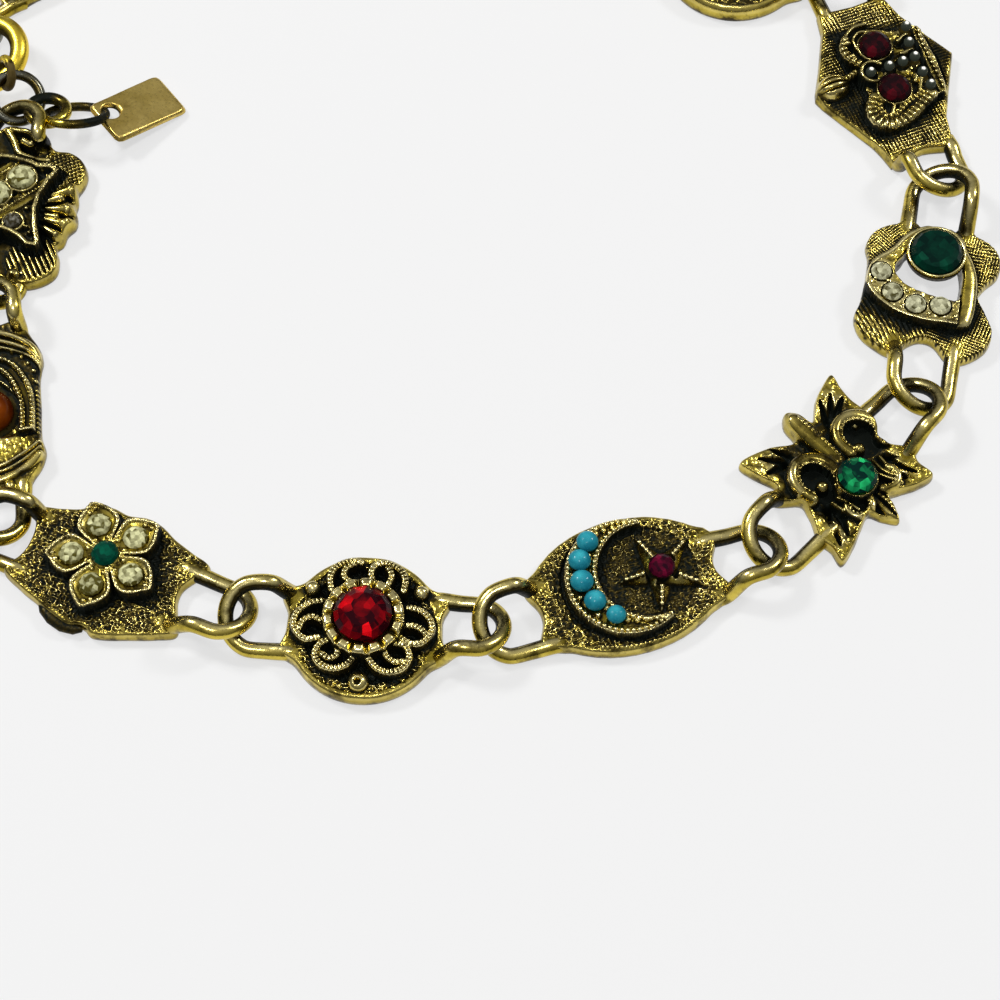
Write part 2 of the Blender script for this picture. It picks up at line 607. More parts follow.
def cutStone(place, radius, girdle, facets=8, crown=0.42):
    # rings of corners, radius * (share * cos a, share * sin a, level), from the blunt point up to the table,
    # which is drawn as two rings of small facets
    rings = [(0.3, -0.5), (1.0, -0.05), (1.0, 0.06), (0.83, 0.27), (0.62, crown), (0.3, crown + 0.01)]
    sides = facets * 2
    around = np.arange(sides) * np.pi / facets
    points = []
    for (share, level), shift in zip(rings, (0, 0, 0, 0, 0, np.pi / sides)):
        x = place[0] + radius * share * np.cos(around + shift)
        y = place[1] + radius * share * np.sin(around + shift)
        points.append(np.column_stack([x, y, np.full(sides, girdle + radius * level)]))
    poles = [[*place, girdle - 0.5 * radius], [*place, girdle + (crown + 0.01) * radius]]
    count = sides * len(rings)
    quads = gridQuads(len(rings), sides, wrap=True)
    split = np.concatenate([quads[:, [0, 1, 2]], quads[:, [0, 2, 3]]])
    ends = np.concatenate([fan(np.arange(sides), count), fan(np.arange(count - sides, count)[::-1],
                                                             count + 1)])
    return shell(np.concatenate(points + [poles]), None, np.concatenate([split, ends]))


def spotsOf(shells, row, turnEach):
    # where each vertex of each stone is, in radii from its stone's middle and in the frame's directions,
    # turned a little more for each stone
    spots = []
    for index, stone in enumerate(shells):
        flat = turnedInto(row, stone["points"])[:, :2]
        offset = flat - (flat.min(axis=0) + flat.max(axis=0)) / 2
        ahead, aside = polar(1.0, turnEach * index), polar(1.0, turnEach * index + 90)
        offset = offset @ np.column_stack([ahead, aside])
        spots.append(np.column_stack([offset / np.hypot(*offset.T).max(), np.zeros(len(offset))]))
    return np.concatenate(spots)


def newMaterial(name):
    # a material, its node tree and the surface node that it starts with
    material = bpy.data.materials.new(name)
    material.use_nodes = True
    tree = material.node_tree
    return material, tree, tree.nodes["Principled BSDF"]


def feed(tree, socket, value):
    # links a socket to another node's output, or sets it to a number or a colour
    if isinstance(value, bpy.types.NodeSocket):
        tree.links.new(value, socket)
    else:
        socket.default_value = (*value, 1) if isinstance(value, tuple) and len(value) == 3 else value


def colourMix(tree, factor, first, second):
    # first * (1 - factor) + second * factor
    mix = tree.nodes.new("ShaderNodeMix")
    mix.data_type = "RGBA"
    for index, value in ((0, factor), (6, first), (7, second)):  # 6 and 7 take colours
        feed(tree, mix.inputs[index], value)
    return mix.outputs[2]


def numberMap(tree, value, low, high, newLow, newHigh, blend="LINEAR"):
    # newLow + (newHigh - newLow) * (value - low) / (high - low), kept between the two
    node = tree.nodes.new("ShaderNodeMapRange")
    node.interpolation_type = blend
    for key, number in (("Value", value), ("From Min", low), ("From Max", high),
                        ("To Min", newLow), ("To Max", newHigh)):
        feed(tree, node.inputs[key], number)
    return node.outputs["Result"]


def calculate(tree, operation, first, second=0.0, clamp=True):
    # first and second by one operation, kept from 0 to 1 where it is clamped
    node = tree.nodes.new("ShaderNodeMath")
    node.operation = operation
    node.use_clamp = clamp
    feed(tree, node.inputs[0], first)
    feed(tree, node.inputs[1], second)
    return node.outputs[0]


def noiseOn(tree, scale, detail=3, roughness=0.55):
    # cloudy noise from 0 to 1, with so many clouds to the metre
    place = tree.nodes.new("ShaderNodeTexCoord")
    noise = tree.nodes.new("ShaderNodeTexNoise")
    for key, number in (("Scale", scale), ("Detail", detail), ("Roughness", roughness)):
        noise.inputs[key].default_value = number
    tree.links.new(place.outputs["Object"], noise.inputs["Vector"])
    return noise.outputs["Fac"]


def attributeOn(tree, name):
    # a number that the mesh carries at each point or face
    node = tree.nodes.new("ShaderNodeAttribute")
    node.attribute_name = name
    return node.outputs["Fac"]


def bumpOn(tree, surface, height, strength, distance=0.00004):
    # tilts the surface by the slope of strength * distance * height
    bump = tree.nodes.new("ShaderNodeBump")
    bump.inputs["Strength"].default_value = strength
    bump.inputs["Distance"].default_value = distance
    tree.links.new(height, bump.inputs["Height"])
    tree.links.new(bump.outputs["Normal"], surface.inputs["Normal"])


def metal(name, look):
    # blotchy gold, bright where worn; patina covers it as dark * noise + stains passes patinaFrom and patinaTo
    material, tree, surface = newMaterial(name)
    blotches = noiseOn(tree, look["blotchScale"], 4)
    fine = noiseOn(tree, look["grainScale"], 3, 0.6)
    colour = colourMix(tree, numberMap(tree, blotches, 0.38, 0.62, 0.0, 1.0), look["deep"], look["colour"])
    rubbed = calculate(tree, "MULTIPLY", attributeOn(tree, "worn"), look["wear"])
    colour = colourMix(tree, rubbed, colour, look["worn"])
    uneven = numberMap(tree, fine, 0.3, 0.7, 0.75, 1.25)
    ragged = calculate(tree, "MULTIPLY", attributeOn(tree, "dark"), uneven)
    stains = numberMap(tree, noiseOn(tree, look["stainScale"], 5, 0.65), 0.5, 0.68, 0.0, look["stain"])
    ragged = calculate(tree, "ADD", ragged, stains)
    tarnished = numberMap(tree, ragged, look["patinaFrom"], look["patinaTo"], 0.0, 1.0)
    colour = colourMix(tree, tarnished, colour, look["tarnish"])
    covered = numberMap(tree, ragged, look["patinaTo"], look["patinaTo"] + 0.45, 0.0, 1.0)
    colour = colourMix(tree, covered, colour, look["patina"])
    tree.links.new(colour, surface.inputs["Base Color"])
    tree.links.new(numberMap(tree, covered, 0.0, 1.0, 1.0, 0.3), surface.inputs["Metallic"])
    rough = numberMap(tree, fine, 0.25, 0.75, look["roughness"] - 0.07, look["roughness"] + 0.1)
    rough = calculate(tree, "ADD", rough, numberMap(tree, covered, 0.0, 1.0, 0.0, 0.28))
    tree.links.new(rough, surface.inputs["Roughness"])
    surface.inputs["Specular IOR Level"].default_value = 0.1
    bumpOn(tree, surface, fine, look["bump"])
    return material


goldLook = {
    "colour": (0.68, 0.53, 0.085), "deep": (0.37, 0.275, 0.025), "worn": (0.90, 0.79, 0.40),
    "tarnish": (0.066, 0.047, 0.010), "patina": (0.004, 0.006, 0.004),
    "wear": 0.8, "stain": 0.36, "stainScale": 750.0, "blotchScale": 420.0, "grainScale": 5200.0,
    "patinaFrom": 0.05, "patinaTo": 0.45, "roughness": 0.22, "bump": 0.2,
}
antiqueGold = metal("antiqueGold", goldLook)
brightGold = metal("brightGold", {**goldLook, "colour": (0.92, 0.70, 0.08), "deep": (0.80, 0.57, 0.05),
                                  "worn": (0.97, 0.8, 0.2), "patina": (0.10, 0.07, 0.02), "stain": 0.0,
                                  "roughness": 0.3})
paleGold = metal("paleGold", {**goldLook, "colour": (0.84, 0.63, 0.19), "deep": (0.60, 0.43, 0.10),
                              "worn": (0.92, 0.80, 0.42), "roughness": 0.3, "stain": 0.15})
steelGold = metal("steelGold", {**goldLook, "colour": (0.22, 0.22, 0.18), "deep": (0.09, 0.09, 0.07),
                                "roughness": 0.25})


def glass(name, look):
    # a foil-backed stone under a clear polished face: near each glint its tone rises by
    # strength * smoothstep(1 - |distance - ring| / size)
    material, tree, surface = newMaterial(name)
    base, cloud, facet = look["base"], look["cloud"], look["facet"]
    tone = numberMap(tree, noiseOn(tree, look["cloudScale"], 2), 0.35, 0.65, base - cloud, base + cloud)
    flat = numberMap(tree, attributeOn(tree, "facet"), 0.0, 1.0, -facet, facet)
    tone = calculate(tree, "ADD", tone, flat, False)
    tone = calculate(tree, "ADD", tone, attributeOn(tree, "ownTone"), False)
    spot = tree.nodes.new("ShaderNodeAttribute")
    spot.attribute_name = "spot"
    place = spot.outputs["Vector"]
    if look["shards"]:                                           # the glints break up into flat shards
        shards = tree.nodes.new("ShaderNodeTexVoronoi")
        shards.voronoi_dimensions = "2D"
        shards.inputs["Scale"].default_value = look["shards"]
        tree.links.new(place, shards.inputs["Vector"])
        shard = numberMap(tree, shards.outputs["Color"], 0.25, 0.75, -look["shardTone"], look["shardTone"])
        tone = calculate(tree, "ADD", tone, shard, False)
        mix = tree.nodes.new("ShaderNodeMix")
        mix.data_type = "VECTOR"
        for index, value in ((0, 0.75), (4, place), (5, shards.outputs["Position"])):   # 4 and 5 take vectors
            feed(tree, mix.inputs[index], value)
        place = mix.outputs[1]
    for x, y, ring, size, strength in look["glints"]:
        apart = tree.nodes.new("ShaderNodeVectorMath")
        apart.operation = "DISTANCE"
        tree.links.new(place, apart.inputs[0])
        apart.inputs[1].default_value = (x, y, 0)
        beside = calculate(tree, "SUBTRACT", apart.outputs["Value"], ring, False)
        beside = calculate(tree, "ABSOLUTE", beside, 0.0, False)
        glint = numberMap(tree, beside, 0.0, size, strength, 0.0, "SMOOTHSTEP")
        tone = calculate(tree, "ADD", tone, glint, False)
    colour = colourMix(tree, numberMap(tree, tone, 0.0, 1.0, 0.0, 1.0), look["deep"], look["bright"])
    tree.links.new(colour, surface.inputs["Base Color"])
    tree.links.new(colour, surface.inputs["Emission Color"])
    for key, number in (("Roughness", look["roughness"]), ("Specular IOR Level", 0.07), ("Coat Weight", 0.06),
                        ("Coat Roughness", 0.03), ("Emission Strength", look["glow"])):
        surface.inputs[key].default_value = number
    bumpOn(tree, surface, noiseOn(tree, 3000.0, 2), 0.05)
    return material


glassLook = {"roughness": 0.2, "glow": 0.06, "cloudScale": 1500.0, "cloud": 0.05, "base": 0.05, "facet": 0.14,
             "shards": 3.2, "shardTone": 0.08}
# Each kind of stone: its deep and bright colours, and its glints as (x, y, ring radius, size, strength),
# in radii from its middle.
stones = {
    "ruby": {"deep": (0.018, 0.0, 0.002), "bright": (0.78, 0.003, 0.008), "base": 0.0, "facet": 0.16,
             "shardTone": 0.1,
             "glints": [(-0.05, 0.92, 0, 0.32, 0.8), (-0.45, 0.8, 0, 0.26, 0.45), (0.62, 0.6, 0, 0.28, 0.6),
                        (-0.52, 0.2, 0, 0.26, 1.0), (-0.35, -0.02, 0, 0.18, 0.6),
                        (0.15, -0.66, 0, 0.24, 1.1), (0.1, 0.2, 0, 0.4, 0.28), (0.85, 0.05, 0, 0.22, 0.35),
                        (-0.1, 0.15, 0.42, 0.07, 0.12)]},
    "garnet": {"deep": (0.008, 0.002, 0.003), "bright": (0.17, 0.002, 0.010), "base": 0.0, "facet": 0.07,
               "glints": [(-0.3, -0.55, 0, 0.4, 0.55), (0.2, 0.7, 0, 0.3, 0.14), (0.5, -0.4, 0, 0.3, 0.16),
                          (0.1, 0.1, 0.45, 0.08, 0.1)]},
    "emerald": {"deep": (0.0, 0.016, 0.012), "bright": (0.02, 0.60, 0.18), "base": 0.0, "facet": 0.2,
                "shardTone": 0.12,
                "glints": [(0.25, 0.75, 0, 0.34, 1.0), (-0.5, -0.1, 0, 0.26, 0.5),
                           (-0.35, -0.5, 0, 0.3, 1.1), (0.05, -0.68, 0, 0.3, 1.1),
                           (0.42, -0.5, 0, 0.26, 0.8), (0.0, 0.0, 0, 0.4, -0.3)]},
    "smallEmerald": {"deep": (0.0, 0.03, 0.018), "bright": (0.0, 0.15, 0.075),
                     "glints": [(0.1, 0.05, 0.3, 0.14, 0.3), (-0.5, 0.3, 0, 0.35, 0.3)]},
    "darkEmerald": {"deep": (0.0, 0.010, 0.007), "bright": (0.003, 0.09, 0.045), "facet": 0.08,
                    "glints": [(-0.68, -0.4, 0, 0.28, 0.6), (-0.1, 0.0, 0.3, 0.2, 0.12),
                               (0.3, -0.65, 0, 0.22, 0.5), (0.35, 0.65, 0, 0.25, 0.35)]},
    "starRuby": {"deep": (0.016, 0.001, 0.006), "bright": (0.30, 0.004, 0.045), "facet": 0.1,
                 "glints": [(-0.3, 0.4, 0, 0.5, 0.45), (0.5, 0.5, 0, 0.3, 0.3), (0.1, -0.6, 0, 0.4, 0.4)]},
    "amber": {"deep": (0.045, 0.005, 0.0), "bright": (0.40, 0.085, 0.004),
              "glints": [(0.2, -0.3, 0, 0.9, 0.6)], "facet": 0.0, "shards": 0},
    "clear": {"deep": (0.075, 0.065, 0.012), "bright": (0.74, 0.73, 0.40), "facet": 0.15, "cloud": 0.12,
              "base": 0.42, "cloudScale": 2600.0, "shardTone": 0.3,
              "glints": [(0.05, 0.0, 0.4, 0.1, -0.35), (0.3, -0.15, 0.75, 0.12, -0.25),
                         (0.0, 0.0, 1.0, 0.22, -0.45), (0.1, 0.3, 0, 0.16, 0.75),
                         (0.45, -0.5, 0, 0.28, 0.4), (-0.6, 0.1, 0, 0.35, -0.3),
                         (-0.35, 0.6, 0, 0.3, 0.3)]},
    "chip": {"deep": (0.06, 0.052, 0.012), "bright": (0.80, 0.79, 0.52), "facet": 0.12, "cloud": 0.1,
             "base": 0.38, "cloudScale": 3200.0, "shards": 2.3, "shardTone": 0.2,
             "glints": [(0.0, 0.0, 0.85, 0.18, 0.3), (0.0, 0.0, 0.6, 0.12, -0.25),
                        (0.0, 0.0, 0, 0.5, -0.15), (0.12, 0.18, 0, 0.2, 0.5), (-0.3, -0.25, 0, 0.25, 0.3)]},
    "dimClear": {"deep": (0.03, 0.025, 0.012), "bright": (0.65, 0.64, 0.55), "facet": 0.12, "cloud": 0.1,
                 "base": 0.0,
                 "glints": [(0.0, 0.0, 0, 0.5, 0.2), (0.1, -0.1, 0, 0.25, 0.5)]},
    "turquoise": {"deep": (0.008, 0.16, 0.22), "bright": (0.045, 0.40, 0.46),
                  "glints": [(-0.1, 0.2, 0, 1.0, 0.6)], "facet": 0.0, "cloud": 0.2, "shards": 0},
    "pearl": {"deep": (0.02, 0.024, 0.018), "bright": (0.97, 0.95, 0.86),
              "glints": [(0.05, 0.12, 0, 0.6, 1.25)], "facet": 0.0, "glow": 0.75,
              "cloud": 0.0, "base": -0.1, "shards": 0},
}
stoneLooks = {name: glass(name + "Glass", {**glassLook, **look}) for name, look in stones.items()}


def addStones(name, shells, look, row, replaced=(), smooth=False, turnEach=0, tones=0.0):
    # stones of one kind; each facet's tone is 0.5 + 0.5 * sin(9 nx + 2) * cos(8 ny + 1), from its normal
    piece = addPiece(name, shells, stoneLooks[look], replaced, smooth, row)
    mesh = piece.data
    spots = spotsOf(shells, row, turnEach)
    mesh.attributes.new("spot", "FLOAT_VECTOR", "POINT").data.foreach_set("vector", spots.ravel())
    sizes = [len(stone["points"]) for stone in shells]
    ownTone = np.repeat(np.broadcast_to(tones, len(shells)).astype(float), sizes)
    mesh.attributes.new("ownTone", "FLOAT", "POINT").data.foreach_set("value", ownTone)
    normals = np.zeros(len(mesh.polygons) * 3)
    mesh.polygons.foreach_get("normal", normals)
    normals = normals.reshape(-1, 3)                             # a flat table has no tone of its own
    facet = 0.5 + 0.5 * np.sin(9 * normals[:, 0] + 2) * np.cos(8 * normals[:, 1] + 1) * (normals[:, 2] < 0.97)
    mesh.attributes.new("facet", "FLOAT", "FACE").data.foreach_set("value", facet)
    return piece


def addLink(name, row, plateShell, *extras):
    # a link is one casting: its plate, its two eyes and any extras
    shells = [plateShell, eyeLoop(row, -1), eyeLoop(row, 1), *extras]
    return addPiece(name + "_casting", shells, antiqueGold, ["link_" + name], row=row)


rosette = {
    "middle": (0, -0.25), "radius": 4.8, "seat": (-0.05, 0.05), "ruby": 1.82,
    "balls": [(-3.4, 2.15), (3.4, 2.15)], "ring": (-0.1, -3.95), "ringHole": (-0.15, -4.05),
    "filigreeMiddle": (0, -0.38),
    "filigree": [
        [(-2.6, 1.5), (-3.3, 1.35), (-4.0, 0.9), (-4.35, 0.2), (-4.15, -0.6), (-3.5, -1.08), (-2.75, -0.95)],
        [(-2.6, 0.15), (-3.2, 0.42), (-3.75, 0.15), (-3.95, -0.3)],
        [(2.7, 1.3), (3.5, 1.1), (4.1, 0.5), (4.2, -0.3), (3.7, -0.95), (3.0, -1.1), (2.35, -0.75)],
        [(2.6, 0.1), (3.15, 0.08), (3.6, -0.15), (3.95, -0.5)],
        [(-2.1, -1.05), (-2.7, -1.5), (-2.85, -2.15), (-2.4, -2.75), (-1.6, -2.95), (-0.9, -2.7),
         (-0.45, -2.15)],
        [(-2.5, -2.0), (-2.0, -2.3), (-1.5, -2.05), (-1.5, -1.7)],
        [(1.9, -1.1), (2.6, -1.25), (2.95, -1.9), (2.6, -2.7), (1.8, -3.05), (1.0, -2.8), (0.4, -2.15)],
        [(1.35, -1.5), (1.55, -2.0), (2.05, -2.35), (2.6, -2.3)],
        [(-0.5, 4.25), (-1.3, 4.3), (-2.05, 3.8), (-2.3, 3.1), (-2.2, 2.35)],
        [(-0.85, 4.15), (-1.4, 3.75), (-1.45, 3.2), (-1.1, 2.9)],
        [(0.5, 4.15), (1.2, 4.25), (1.95, 3.9), (2.35, 3.2), (2.3, 2.4)],
        [(0.35, 4.0), (0.2, 3.5), (0.35, 3.0)], [(1.25, 3.95), (1.5, 3.4), (1.35, 2.85)],
    ],
}


def rosetteHeight(x, y):
    # a sunk punched ground inside a rim, with filigree wires and balls, and a notched collar round the seat
    radius = farFrom(x, y, rosette["middle"])
    z = 1.06 + stipple(x, y, 2, 0.16, 0.2) - 0.3 * (radius < 3.85)
    z = lay(z, ridge(radius - 4.7, 0.42, 0.2), 0.98) + 0.25 * (radius > 4.2) * stipple(x, y, 12, 0.14, 0.2)
    u, v = x - rosette["filigreeMiddle"][0], y - rosette["filigreeMiddle"][1]
    for strand in rosette["filigree"]:
        z = wireOn(z, u, v, strand, 0.25, 0.42, 1.5, notch=0.25, depth=0.36, power=4, narrow=6)
    z = domesOn(z, x, y, rosette["balls"], 0.52, 0.55, 1.15)
    z = domesOn(z, x, y, [rosette["ring"]], 0.68, 0.6, 1.1)
    z = z - 0.4 * np.clip(1 - (farFrom(x, y, rosette["ringHole"]) / 0.25) ** 2, 0, 1)
    reach = farFrom(x, y, rosette["seat"])
    z = plateau(z, reach - 2.25, 2.0, 0.15)
    claws = polar(2.2, np.arange(0, 360, 24)) + rosette["seat"]
    z = wireOn(z, x, y, claws, 0.38, 0.42, 2.02, notch=0.976, depth=0.85, closed=True, power=3, narrow=4)
    return np.where(reach < 1.84, np.minimum(z, 2.2), z)


print("rosette")
row = links["link_rosette"]
outline = polar(rosette["radius"], np.arange(0, 360, 15)) + rosette["middle"]
addLink("rosette", row, casting(outline, rosette["middle"], rosetteHeight, row, 250))
addStones("rosette_ruby", [cutStone(rosette["seat"], rosette["ruby"], 2.5)], "ruby", row,
          ["rosette_stone"])

crescent = {
    "middle": (0, 0.5), "halfLength": 6.4, "halfHeight": 4.5, "tail": -5.7, "head": 5.6,
    "outer": (0, 0.7), "outerReach": 3.95, "inner": (1.4, 0.75), "innerReach": 3.15, "hornsEnd": 1.95,
    "star": (2.25, 0.6), "starReach": 2.75, "starRuby": 0.84,
    "turquoises": [(-1.65, 3.6, 0.7), (-2.52, 2.52, 0.72), (-2.82, 1.12, 0.74), (-2.45, -0.38, 0.7),
                   (-1.5, -1.66, 0.62)],                         # x, y and radius
    "grains": [(-0.95, 4.0), (-0.4, 4.1), (0.2, 4.1), (-1.85, 2.75), (-3.2, 1.7), (-3.25, 0.15),
               (-2.5, 0.2), (-2.55, -1.3), (-1.9, -1.0), (-0.9, -2.15), (-0.35, -2.35), (0.25, -2.45)],
    "lowerRow": [(-3.0, -3.15), (-1.5, -3.6), (0, -3.75), (1.5, -3.65), (3.0, -3.2), (4.3, -2.4)],
}


def starOn(z, x, y, place, radius, phase, height):
    # five pyramid arms: height falls towards the tip and away from the arm's ridge
    for bearing in phase + 72 * np.arange(5):
        u, v = aimed(x, y, place, bearing)
        taper = 1.05 - u / radius
        width = 0.95 * np.clip(taper, 0.001, 1)
        bump = height * np.clip(taper, 0, 1) ** 0.5 * np.clip(1 - np.abs(v) / width, 0, 1) * (u > -0.2)
        z = np.where((np.abs(v) < width + 0.15) & (u > 0) & (u < radius), np.minimum(z, 0.98), z)
        z = lay(z, bump, 1.08)
        arm = polar(np.array([0.7, 1.6, 2.5]), bearing) + place
        z = beadsOn(z, x, y, arm, 0.36, 0.17, 0.17, 1.28 + 0.5 * np.clip(taper, 0, 1))
    return z


def crescentHeight(x, y):
    # a raised crescent with a sunk floor, inside the outer circle and outside the inner one, and a star:
    # signed = max(fromOuter - outerReach, innerReach - fromInner, x - hornsEnd)
    z = 1.01 + stipple(x, y, 3, 0.13, 0.18)
    fromOuter, fromInner = farFrom(x, y, crescent["outer"]), farFrom(x, y, crescent["inner"])
    z = np.where((fromOuter > 3.9) & (fromOuter < 4.15) & (x < 0.5), z - 0.12, z)
    z = np.where(fromInner < 3.2, z - 0.1, z)
    z = beadsOn(z, x, y, crescent["lowerRow"], 0.3, 0.14, 0.12, 1.08)
    signed = np.maximum(fromOuter - crescent["outerReach"], crescent["innerReach"] - fromInner)
    signed = np.maximum(signed, x - crescent["hornsEnd"])
    z = plateau(z, signed, 1.8, 0.12)
    z = np.where(signed < -0.1, 1.62, z)
    z = np.where(signed < -0.52, 1.5 + 0.06 * speckle(x, y, 0.2), z)
    z = beadsOn(z, x, y, polar(3.7, np.arange(66, 300, 12)) + crescent["outer"], 0.37, 0.185, 0.24, 1.66)
    z = beadsOn(z, x, y, polar(3.38, np.arange(82, 282, 12)) + crescent["inner"], 0.37, 0.185, 0.24, 1.66)
    z = domesOn(z, x, y, crescent["grains"], 0.2, 0.22, 1.65)
    z = starOn(z, x, y, crescent["star"], crescent["starReach"], 180, 0.8)
    return plateau(z, farFrom(x, y, crescent["star"]) - 0.72, 1.75, 0.1)


def cutOval(middle, halfLength, halfHeight, tail, head):
    # an oval cut square across at both ends: y = middle +- halfHeight * sqrt(1 - (x / halfLength) ** 2)
    place = head + (tail - head) * np.linspace(0, 1, 15)
    rise = halfHeight * np.sqrt(1 - ((place - middle[0]) / halfLength) ** 2)
    return np.concatenate([np.column_stack([place, middle[1] + rise]),
                           np.column_stack([place[::-1], middle[1] - rise[::-1]])])


print("crescent")
row = links["link_crescent"]
outline = cutOval(*(crescent[key] for key in ("middle", "halfLength", "halfHeight", "tail", "head")))
addLink("crescent", row, casting(outline, crescent["middle"], crescentHeight, row, 220, smooth=False))
turquoises = [cabochon((px, py), 1.9, size, size * 0.75) for px, py, size in crescent["turquoises"]]
addStones("crescent_turquoise", turquoises, "turquoise", row, smooth=True)
addStones("star_ruby", [cutStone(crescent["star"], crescent["starRuby"], 1.95, 6)], "starRuby", row)

blossom = {
    "middle": (-0.7, 0.52), "phase": 55, "stonesAt": 2.15, "stone": 0.79, "emerald": 0.86,
    "stoneTones": (0.16, -0.04, 0.04, -0.26, 0.12),
    "halfPetal": [(3.8, 0.0), (3.45, 0.5), (2.9, 1.05), (2.3, 1.28), (1.7, 1.05), (1.1, 0.65), (0.5, 0.28)],
    "petalGrains": [(3.35, 0.0), (3.1, 0.4), (1.15, 0.42), (1.15, -0.42)],
    "plateMiddle": (-0.7, -0.15),
    "outline": [
        (-6.4, 2.2), (-5.0, 2.8), (-3.8, 3.3), (-3.4, 3.75), (-2.0, 4.05), (-0.8, 3.95), (0.4, 4.2),
        (1.4, 4.05), (2.6, 3.5), (4.0, 3.05), (5.2, 2.55), (4.75, 1.6), (4.35, 0.7), (4.4, -0.2),
        (4.8, -1.1), (5.3, -2.3), (4.2, -2.95), (2.5, -3.65), (1.2, -4.15), (0.4, -4.3), (-0.1, -4.05),
        (-0.5, -4.0), (-1.2, -4.25), (-2.5, -3.95), (-3.8, -3.5), (-5.0, -3.1), (-6.4, -2.3), (-6.0, -1.2),
        (-5.9, 0.0), (-6.0, 1.2),
    ],
    "spur": [(-3.7, -3.2), (-3.1, -3.75), (-2.4, -4.1), (-1.6, -4.3), (-0.8, -4.25), (-0.3, -4.1)],
    "spurLevel": 0.45, "spurRadii": [0.15, 0.36, 0.44, 0.44, 0.38, 0.18],
}


def blossomHeight(x, y):
    # five petals on a punched ground, each a plateau with a notched wire rim, a sunk floor and small grains
    z = 1.02 + stipple(x, y, 8, 0.15, 0.18)
    half = np.array(blossom["halfPetal"])
    petal = np.concatenate([half, half[:0:-1] * [1, -1]])
    for bearing in blossom["phase"] + 72 * np.arange(5):
        u, v = aimed(x, y, blossom["middle"], bearing)
        signed = within(u, v, smoothCurve(petal, 36, closed=True))
        z = plateau(z, signed, 2.05, 0.1)
        z = np.where(signed < -0.2, 1.88 + 0.12 * np.clip(1 + (signed + 0.2) / 0.3, 0, 1), z)
        rim = 0.96 * petal + [0.07, 0.0]
        z = wireOn(z, u, v, rim, 0.14, 0.16, 2.0, notch=0.34, depth=0.38, closed=True, finer=3, narrow=3)
        z = domesOn(z, u, v, blossom["petalGrains"], 0.17, 0.17, 1.93)
    return plateau(z, farFrom(x, y, blossom["middle"]) - 0.95, 2.02, 0.2)


print("blossom")
row = links["link_blossom"]
spurPath = [(*place, blossom["spurLevel"]) for place in blossom["spur"]]
plateShell = casting(blossom["outline"], blossom["plateMiddle"], blossomHeight, row, 230, dull=0.06)
addLink("blossom", row, plateShell, sweptWire(spurPath, blossom["spurRadii"], flatten=0.9, dark=0.7))
seats = polar(blossom["stonesAt"], blossom["phase"] + 72 * np.arange(5)) + np.array(blossom["middle"])
addStones("blossom_stones", [cutStone(seat, blossom["stone"], 2.0, 6) for seat in seats],
          "clear", row, turnEach=67, tones=blossom["stoneTones"])
addStones("blossom_emerald", [cutStone(blossom["middle"], blossom["emerald"], 2.2)],
          "smallEmerald", row)

fleur = {
    "plateMiddle": (0.1, 0.2), "seat": (0, -1.0), "emerald": 1.27, "flowerMiddle": (-0.25, -0.25),
    "outline": [
        (4.95, 5.25), (3.9, 5.1), (2.9, 4.75), (1.5, 3.9), (1.25, 5.0), (0.65, 5.5), (0.05, 5.0),
        (-0.3, 3.8), (-2.0, 4.7), (-4.0, 5.25), (-4.0, 4.3), (-3.7, 3.2), (-3.2, 1.8), (-3.3, 0.6),
        (-3.7, -0.6), (-4.0, -1.6), (-4.35, -2.8), (-4.75, -3.95), (-3.4, -3.75), (-2.2, -3.3),
        (-1.0, -3.0), (-0.6, -3.8), (0, -4.65), (0.5, -3.9), (0.8, -3.1), (1.6, -3.4), (2.7, -3.95),
        (3.95, -4.15), (3.95, -3.0), (3.9, -1.8), (3.45, -0.6), (3.5, 0.1), (3.95, 0.6), (4.3, 1.4),
        (4.4, 2.3), (4.45, 3.2), (4.65, 4.2),
    ],
    "leafVeins": [
        ((-2.95, 4.55), (-1.6, 2.8)), ((-1.95, 4.5), (-1.4, 3.3)), ((-3.35, 3.45), (-2.0, 3.1)),
        ((3.7, 4.3), (2.2, 2.9)), ((2.9, 4.5), (2.2, 3.3)), ((4.1, 3.55), (2.9, 3.1)),
        ((-4.0, -3.1), (-2.6, -1.0)), ((-3.1, -3.0), (-2.3, -1.6)), ((-3.0, -1.5), (-2.6, -1.0)),
        ((3.3, -3.3), (2.5, -1.2)), ((2.5, -3.1), (2.2, -2.0)), ((3.3, -1.8), (2.8, -1.2)),
    ],
    # each scroll: its middle, radius, wire's half width, arc's start and end, and height over width
    "scrolls": [((-1.45, 1.05), 1.25, 0.42, -70, 205, 1.25), ((2.85, 1.15), 1.3, 0.42, -50, 195, 1.15),
                ((-0.9, -2.0), 0.75, 0.26, 140, 345, 0.9), ((1.75, -2.0), 0.7, 0.26, -160, 40, 0.9)],
    "eyes": [(-1.6, 0.5), (2.1, 0.6)],
    "lowerVeins": [
        [(-2.0, -0.7), (-1.9, -1.6), (-1.6, -2.5)], [(-1.5, -0.7), (-1.3, -1.3), (-1.2, -2.2)],
        [(2.6, -0.7), (2.5, -1.6), (2.9, -2.7)], [(2.1, -0.6), (2.0, -1.4), (2.3, -2.5)],
        [(1.5, -1.0), (1.7, -1.7), (2.2, -2.9)],
    ],
}


